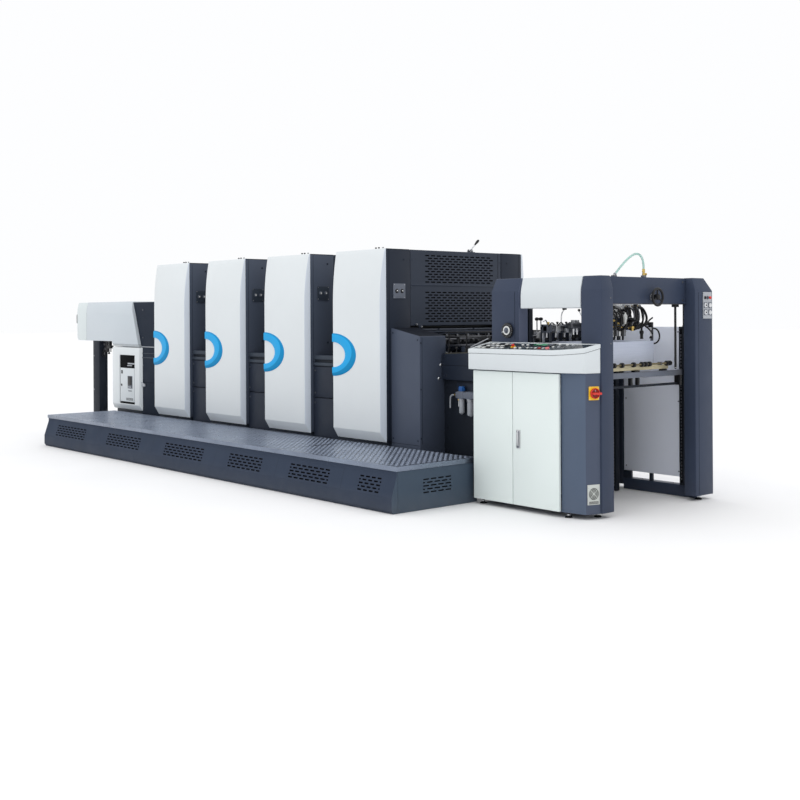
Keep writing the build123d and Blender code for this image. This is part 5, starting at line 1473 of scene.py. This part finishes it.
def key(x, y, w, d, mat, h=5.0):
    """Square key with a bezel on the sloping panel."""
    for ww, dd, a, b, m in ((w + 5, d + 5, 0.0, 1.6, BLACK), (w, d, 1.4, h, mat)):
        t = box(-ww / 2, ww / 2, -dd / 2, dd / 2, a, b, min(1.2, (b - a) * 0.4), 2)
        ang = math.atan(SL)
        bmesh.ops.transform(t, matrix=Matrix.Translation(on_panel(x, y)) @ Matrix.Rotation(ang, 4, "X"), verts=t.verts)
        pc.add(t, m)


def round_key(x, y, r, mat, h=7.0):
    p = on_panel(x, y)
    pc.add(lathe(p, nrm, [(0, 0), (r * 1.3, 0), (r * 1.3, 1.6), (r * 1.05, 2.6), (0, 2.6)], 24), CHROME)
    pc.add(lathe(p, nrm, [(0, 2), (r, 2), (r, h - 1.2), (r * 0.88, h), (0, h)], 24), mat)


for i, yy in enumerate((-484.0, -436.0, -388.0)):
    for j in range(6):
        xx = 2984 + 47 * j + 5 * i
        key(xx, yy, 30, 26, (CREAM, CREAM, BLACK, CREAM, GREY_P)[(i * 2 + j) % 5])
# emergency stop on its yellow plate
q = on_panel(3298, -446)
pc.add(lathe(q, nrm, [(0, 0), (20, 0), (20, 2.2), (18.5, 3.2), (0, 3.2)], 36), YELLOW)
pc.add(lathe(q, nrm, [(0, 3), (9, 3), (9, 9), (12.5, 12), (13, 17), (11, 21), (0, 22)], 36), RED)
for xx, yy in ((3350, -480), (3350, -396), (3398, -396), (3398, -480), (3350, -438), (3398, -438)):
    round_key(xx, yy, 10, CREAM if yy != -438 else BLACK)
# display block: bezel, green screen and keys
for w, d, a, b, m, x, y in ((196, 62, 0.0, 4.0, BLACK, 3540, -384), (120, 42, 3.6, 5.0, GREEN, 3520, -384), (40, 42, 3.6, 5.2, GREY_D, 3612, -384)):
    t = box(-w / 2, w / 2, -d / 2, d / 2, a, b, 1.0, 2)
    bmesh.ops.transform(t, matrix=Matrix.Translation(on_panel(x, y)) @ Matrix.Rotation(math.atan(SL), 4, "X"), verts=t.verts)
    pc.add(t, m)
for j in range(5):
    key(3464 + 38 * j, -470, 22, 18, (CREAM, GREY_P, CREAM, RED, CREAM)[j])
round_key(3660, -476, 15, PINK, 12.0)
for xx, yy, m in ((3676, -432, CREAM), (3690, -376, CREAM), (3762, -378, CREAM), (3726, -432, GREY_P), (3762, -432, BLACK), (3812, -378, GREY_P)):
    round_key(xx, yy, 9, m)
for xx, yy in ((2960, -498), (2972, -362), (3668, -362), (3838, -362), (3700, -498), (3300, -362), (3300, -500)):
    pc.add(lathe(on_panel(xx, yy), nrm, [(0, 0), (3.5, 0), (3.5, 1.0), (2.6, 1.8), (0, 1.8)], 14), STEEL)
pc.done(replaces=["console_panel"])

# main switch and fan on the facet of the corner post
fd = Vector((P3[0] - P2[0], P3[1] - P2[1], 0)).normalized()
fn = Vector((fd.y, -fd.x, 0))
fm = Vector(((P2[0] + P3[0]) / 2, (P2[1] + P3[1]) / 2, 0))


def facet(t, z, dx=0.0):
    """Moves a shape drawn around the origin (x along the facet, y up, z outwards) onto the facet."""
    M = Matrix((fd, Vector((0, 0, 1)), fn)).transposed().to_4x4()
    M.translation = fm + fd * dx + Vector((0, 0, z))
    bmesh.ops.transform(t, matrix=M, verts=t.verts)
    return t


pc = Piece("switch_base", YELLOW)
pc.add(facet(box(-42, 42, -47.5, 47.5, 0, 8, 3.0, 3), 878, 5), YELLOW)
pc.add(facet(cyl((0, 0, 7), (0, 0, 21.6), 6.9, 20, 0.4), 878, 5), STEEL)
for sx in (-36, 36):
    for sy in (-41, 41):
        pc.add(facet(lathe((sx, sy, 7.6), (0, 0, 1), [(0, 0), (3.0, 0), (3.0, 1.0), (2.2, 1.7), (0, 1.7)], 14), 878, 5), STEEL)
pc.done(replaces=["switch_plate"])
pc = Piece("switch_turn_knob", RED)
pc.add(facet(lathe((0, 0, 13), (0, 0, 1), [(7.05, 0), (35, 0), (37, 2), (37, 12.5), (35.4, 15), (32, 15), (29, 9.5), (7.05, 9.5)], 56), 878, 5), RED)
pc.add(facet(prism([(-33, -5), (-30, -8), (30, -8), (33, -5), (33, 5), (30, 8), (-30, 8), (-33, 5)], "z", 22.3, 56, 3.0, 3), 878, 5), RED)
pc.add(facet(lathe((0, 0, 22.4), (0, 0, 1), [(12, 0), (28.6, 0), (28.6, 0.4), (12, 0.4)], 48), 878, 5), RED_D)
pc.add(facet(box(-1.5, 1.5, 14, 26, 22.6, 23.6, 0.3, 1), 878, 5), CREAM)
pc.done("main_switch", ["switch_knob"])

# the near-black disc under the rings paints the shade of the fan opening
pc = Piece("fan_grille", FAN_M)
pc.add(facet(box(-50, 50, -70, 70, 0, 3.5, 1.5, 2), 174), FAN_M)
pc.add(facet(lathe((0, 6, 3.4), (0, 0, 1), [(0, 0), (41, 0), (41, 0.5), (0, 0.5)], 48), 174), BLACK_S)
for r in (42, 34, 26, 18, 10):
    pc.add(facet(torus((0, 6, 5.2), (0, 0, 1), r, 1.7, 48, 8), 174), FAN_M)
for k in range(4):
    a = rad(45 + 90 * k)
    pc.add(facet(cyl((5 * math.cos(a), 6 + 5 * math.sin(a), 5.4), (46 * math.cos(a), 6 + 46 * math.sin(a), 5.4), 1.7, 10, 0.3), 174), FAN_M)
pc.add(facet(lathe((0, 6, 3.4), (0, 0, 1), [(0, 0), (7, 0), (7, 3.4), (5, 4.4), (0, 4.4)], 24), 174), FAN_M)
for k in range(4):
    pc.add(facet(box(-40, 40, -64 + 5 * k, -61.5 + 5 * k, 3.2, 4.4, 0.4, 1), 174), BLACK_S)
for sx in (-43, 43):
    for sy in (-36, 48):
        pc.add(facet(lathe((sx, sy, 3.2), (0, 0, 1), [(0, 0), (3.6, 0), (3.6, 1.6), (2.6, 2.6), (0, 2.6)], 14), 174), STEEL)
pc.done(replaces=["fan_guard"])

# ================================================================ delivery
pc = Piece("delivery_white_hood", WHITE_HOOD_SHADE)


def hood(kind):
    """Part of the hood between two stations; its front and back lean inwards above z 1480."""
    t = bmesh.new()
    rows = []
    ys, yb = -432.0, 1220.0
    for x, zt, zb in kind:
        lean = 22.0 * max(0.0, (zt - 1480.0) / 120.0)
        rows.append([t.verts.new(p) for p in ((x, ys, zb), (x, ys, 1480.0 if zt > 1480 else (zt + zb) / 2), (x, ys + lean * 0.22, 1530.0 if zt > 1530 else (zt + zb) / 2 + 1), (x, ys + lean, zt),
                                              (x, yb - lean, zt), (x, yb - lean * 0.22, 1530.0 if zt > 1530 else (zt + zb) / 2 + 1), (x, yb, 1480.0 if zt > 1480 else (zt + zb) / 2), (x, yb, zb))])
    for a, b in zip(rows, rows[1:]):
        for k in range(8):
            t.faces.new((a[k], a[(k + 1) % 8], b[(k + 1) % 8], b[k]))
    t.faces.new(rows[0])
    t.faces.new(rows[-1])
    bmesh.ops.recalc_face_normals(t, faces=t.faces)
    return t


# left end cap, main body and the slanting right part; the cap takes a lighter copy of the hood's white (painted light)
# and the body a darker copy (painted shade)
pc.add(bevel(hood([(-4040.0, 1600.0, 1168.0), (-4014.0, 1600.0, 1141.0), (-3786.0, 1600.0, 1141.0)]), 8.0, 3, 16), WHITE_HOOD_LIT)
body = prism([(-3782, 1141), (-3127, 1141), (-3109, 1113), (-2487, 1110), (-2595, 1423), (-2616, 1480), (-2658, 1595), (-2666, 1600), (-3782, 1600)], "y", -432, 1220, 0)
# lean of the upper front and back edges
bmesh.ops.bisect_plane(body, geom=body.verts[:] + body.edges[:] + body.faces[:], plane_co=(0, 0, 1480), plane_no=(0, 0, 1))
bmesh.ops.bisect_plane(body, geom=body.verts[:] + body.edges[:] + body.faces[:], plane_co=(0, 0, 1530), plane_no=(0, 0, 1))
for v in body.verts:
    if v.co.z > 1480.5:
        k = (v.co.z - 1480.0) / 120.0
        s = 22.0 * (k if k > 0.95 else k * 0.55)
        v.co.y += s if v.co.y < 400 else -s
pc.add(bevel(body, 6.0, 3, 16), WHITE_HOOD_SHADE)
# lip under the hood in grey: painted shade of the overhang
pc.add(prism([(-3112, 1120), (-3095, 1088), (-2477, 1084), (-2490, 1120)], "y", -426, 1214, 3.0), LIP_SHADE_GREY)
pc.add(box(-3787.5, -3780.5, -430, 1218, 1146, 1478, 0), GREY_P)
pc.add(prism([(-428, 1478), (1216, 1478), (1196, 1592), (-408, 1592)], "x", -3787.5, -3780.5, 0), GREY_P)
pc.add(pipe([(-4038, -424, 1350), (-4058, -424, 1352), (-4060, -424, 1362), (-4060, -424, 1440), (-4058, -424, 1450), (-4038, -424, 1452)], 4.4, 12), BLACK)
pc.add(box(-4046, -4039, -430, -402, 1340, 1462, 3.0, 3), STEEL_D)
pc.done(replaces=["delivery_hood"], smooth=28)

pc = Piece("delivery_body", CHARCOAL)
pc.add(prism([(-2466, 100), (-2030, 100), (-2030, 1588), (-2655, 1588), (-2476, 1100), (-2466, 1096)], "y", -400, 1188, 4.0, 2), DLV_BODY)
for yf, s in ((-400, -1), (1188, 1)):
    for za, zb, m in ((1083, 1092, GREY_P), (1012, 1018, GAP_RAIL), (962, 972, GAP_RAIL)):
        pc.add(box(-2464, -2032, min(yf, yf + s * 5), max(yf, yf + s * 5), za, zb, 1.5), m)
    pc.add(box(-2464, -2032, min(yf - s, yf + s * 0.8), max(yf - s, yf + s * 0.8), 690, 693, 0), BLACK_S)
    pc.add(prism([(-2464, 640), (-2464, 716), (-2444, 684), (-2384, 672), (-2372, 660), (-2374, 644)], "y", min(yf, yf + s * 14), max(yf, yf + s * 14), 2.0), GREY_P)
    for xx in (-2430, -2070):
        for zz in (420, 880, 1190, 1500):
            pc.add(bolt((xx, yf, zz), (0, s, 0), 6, 4), STEEL_D)
# chain sprocket shaft and sheet brake rollers showing under the hood
for xx, zz in ((-2560, 1080), (-2740, 1092), (-2940, 1092)):
    pc.add(cyl((xx, -120, zz), (xx, 908, zz), 14, 20, 1), STEEL_D)
pc.done(replaces=["delivery_chassis"])

# delivery columns and chain wheels in the darker recess charcoal: painted shade
pc = Piece("delivery_columns", CHARCOAL)
for ya, yb in ((-428.0, -320.0), (1108.0, 1216.0)):
    pc.add(box(-3617, -3453, ya, yb, 10, 1141, 4.0), CHARCOAL_SHADE)
    pc.add(box(-3623, -3447, ya - 4 if ya > 0 else ya, yb if ya > 0 else yb + 4, 0, 12, 2.0), CHARCOAL)
    yf, s = (ya, -1) if ya < 0 else (yb, 1)
    pc.add(box(-3556, -3552, min(yf, yf + s * 1.2), max(yf, yf + s * 1.2), 30, 1120, 0.4, 1), CHARCOAL)
    for zz in (90, 560, 960):
        pc.add(bolt((-3590, yf, zz), (0, s, 0), 5, 3.5), STEEL)
    # chain wheel and adjuster at the top of the column
    ym = (ya + yb) / 2
    pc.add(lathe((-3453, ym, 1070), (1, 0, 0), [(0, 0), (34, 0), (34, 6), (20, 9), (20, 16), (9, 18), (9, 34), (0, 34)], 30), CHARCOAL_SHADE)
    pc.add(box(-3453, -3425, ym - 20, ym + 20, 960, 1010, 3.0), BLACK)
    pc.add(cyl((-3440, ym, 1008), (-3440, ym, 1120), 6, 14, 1), STEEL_D)
    # height switch and its plunger hanging from the hood
    pc.add(box(-3330, -3232, ym - 20, ym + 20, 1052, 1088, 4.0), BLACK)
    pc.add(box(-3300, -3262, ym - 16, ym + 16, 1086, 1142, 3.0), BLACK)
    pc.add(box(-3453, -3338, ym - 5, ym + 5, 1008, 1142, 2.0), BLACK)
    pc.add(box(-3453, -3396, ym - 5, ym + 5, 952, 1010, 2.0), BLACK)
    for xx, zz in ((-3418, 1098), (-3404, 1046), (-3420, 990)):
        pc.add(box(xx - 9, xx + 9, ym - 9, ym + 9, zz - 14, zz + 14, 3.0), STEEL_D)
    pc.add(cyl((-3312, ym, 1054), (-3312, ym, 1000), 8, 16, 1), BLACK)
    pc.add(lathe((-3312, ym, 1002), (0, 0, -1), [(0, 0), (13, 0), (15, 6), (12, 16), (0, 18)], 22), BLACK)
    pc.add(cyl((-3252, ym - 6, 1054), (-3252, ym - 6, 1010), 6, 14, 1), BLACK)
pc.done(replaces=["delivery_posts"])
pc = Piece("delivery_floor_rails", CHARCOAL)
pc.add(box(-3453, -2466, -398, -338, 0, 70, 3.0), CHARCOAL)
pc.add(box(-3453, -2466, 1126, 1186, 0, 70, 3.0), CHARCOAL)
# block under the control box in the darker recess charcoal: painted shade
pc.add(box(-3060, -2466, -398, -140, 70, 366, 4.0), CHARCOAL_SHADE)
pc.done(replaces=["delivery_base_rails"])

# control box: chamfered foot and left edge, sunk field with window and inner panel
pc = Piece("delivery_control", WHITE)
bx0, bx1, by = -3140.0, -2466.0, -432.0
fx0, fx1, fz0, fz1 = -2933.0, -2571.0, 432.0, 988.0
t = bmesh.new()
outer = [(bx0 + 34, 424), (bx1, 424), (bx1, 1075), (bx0 + 34, 1075)]
inner = [(fx0, fz0), (fx1, fz0), (fx1, fz1), (fx0, fz1)]
O = [t.verts.new((x, by, z)) for x, z in outer]
I = [t.verts.new((x, by, z)) for x, z in inner]
D = [t.verts.new((x, by + 16, z)) for x, z in inner]
for k in range(4):
    j = (k + 1) % 4
    t.faces.new((O[k], O[j], I[j], I[k]))
    t.faces.new((I[k], I[j], D[j], D[k]))
t.faces.new(D)
B = [t.verts.new(p) for p in ((bx0, by + 40, 366), (bx1 + 26, by + 34, 366), (bx1 + 26, by + 34, 1078), (bx0, by + 40, 1078))]
K = [t.verts.new((x, -130, z)) for x, z in ((bx0, 366), (bx1, 366), (bx1, 1078), (bx0, 1078))]
for k in range(4):
    j = (k + 1) % 4
    t.faces.new((O[k], O[j], B[j], B[k]))
    t.faces.new((B[k], B[j], K[j], K[k]))
t.faces.new(K[::-1])
bmesh.ops.recalc_face_normals(t, faces=t.faces)
pc.add(bevel(t, 3.0, 3, 20), WHITE)
pc.add(box(fx0, fx1, by + 13, by + 17, fz0, fz1, 0), BLACK_S)                          # shadow gap around the fields
pc.add(box(fx0 + 4, fx1 - 4, by + 7, by + 15, 848, 984, 2.0), BLACK_S)                 # dark window
pc.add(box(fx0 + 190, fx1 - 8, by + 3, by + 6, 884, 900, 1.0), GREY_P)
pc.add(box(fx0 + 180, fx1 - 70, by + 3, by + 6, 864, 874, 1.0), GREY_P)
pc.add(box(fx0 + 15, fx1 - 14, by + 3, by + 17, 456, 840, 3.0, 3), WHITE_T)              # inner panel
pc.add(box(fx0 + 2, fx1 - 2, by + 8, by + 17, 434, 450, 1.0), BLACK_S)
pc.add(box(-2739, -2631, by - 1.0, by + 4, 610, 752, 3.0, 3), GREY_D)                  # display
pc.add(box(-2731, -2639, by - 2.0, by, 648, 744, 1.0), BLACK)
pc.add(box(-2731, -2655, by - 2.0, by, 620, 632, 0.6), GREY_P)
for j in range(4):
    pc.add(lathe((-2718 + 21 * j, by + 3, 582), (0, -1, 0), [(0, 0), (6, 0), (6, 3), (5, 4), (0, 4)], 18), GREY_D)
for xx, zz, h in ((-2879, 800, 26), (-2889, 648, 16)):
    pc.add(box(xx - 15, xx + 15, by - 0.5, by + 4, zz - h, zz + h * 0.5, 2.0), BLACK)
    pc.add(lathe((xx, by, zz - 4), (0, -1, 0), [(0, 0), (6, 0), (6, 3), (4.5, 4.5), (0, 4.5)], 18), STEEL_D)
for k in range(3):
    pc.add(box(-2782, -2614, by + 2.2, by + 4, 474 + 10 * k, 479 + 10 * k, 0.4, 1), BLACK_S)
pc.done(replaces=["delivery_control_box"], smooth=28)

# fittings of the air hose on the end beam
pc = Piece("hose_unions", BRASS)
A0, A1 = Vector((3914, -33, 1716)), Vector((3914, 0, 1744))
ad = (A1 - A0).normalized()
pc.add(box(3900, 3928, -62, -26, 1698, 1708, 2.0), STEEL_D)
pc.add(lathe(A0 - ad * 20, ad, [(0, 0), (10, 0), (10, 10), (8.5, 12), (8.5, 20.5), (0, 20.5)], 6), STEEL)
pc.add(lathe(A0 - ad * 3, ad, [(0, 0), (11.5, 0), (11.5, 8), (10, 10), (8.1, 10), (8.1, 0)], 24), GREY_P)
pc.add(box(3900, 3928, 286, 318, 1698, 1713, 2.0), STEEL_D)
pc.add(lathe((3914, 302, 1712), (0, 0, 1), [(0, 0), (11, 0), (11, 16), (8, 18), (8, 26), (0, 26)], 6), BRASS)
pc.add(lathe((3914, 302, 1734), (0, 0, 1), [(0, 0), (11, 0), (12, 12), (10.4, 16), (10.4, 26), (0, 26)], 24), BRASS)
pc.add(lathe((3914, 318, 1722), (0, 1, 0), [(0, -8), (5, -8), (5, 6), (9, 8), (9, 14), (0, 15)], 20), BRASS)
pc.done(replaces=["hose_fittings"])
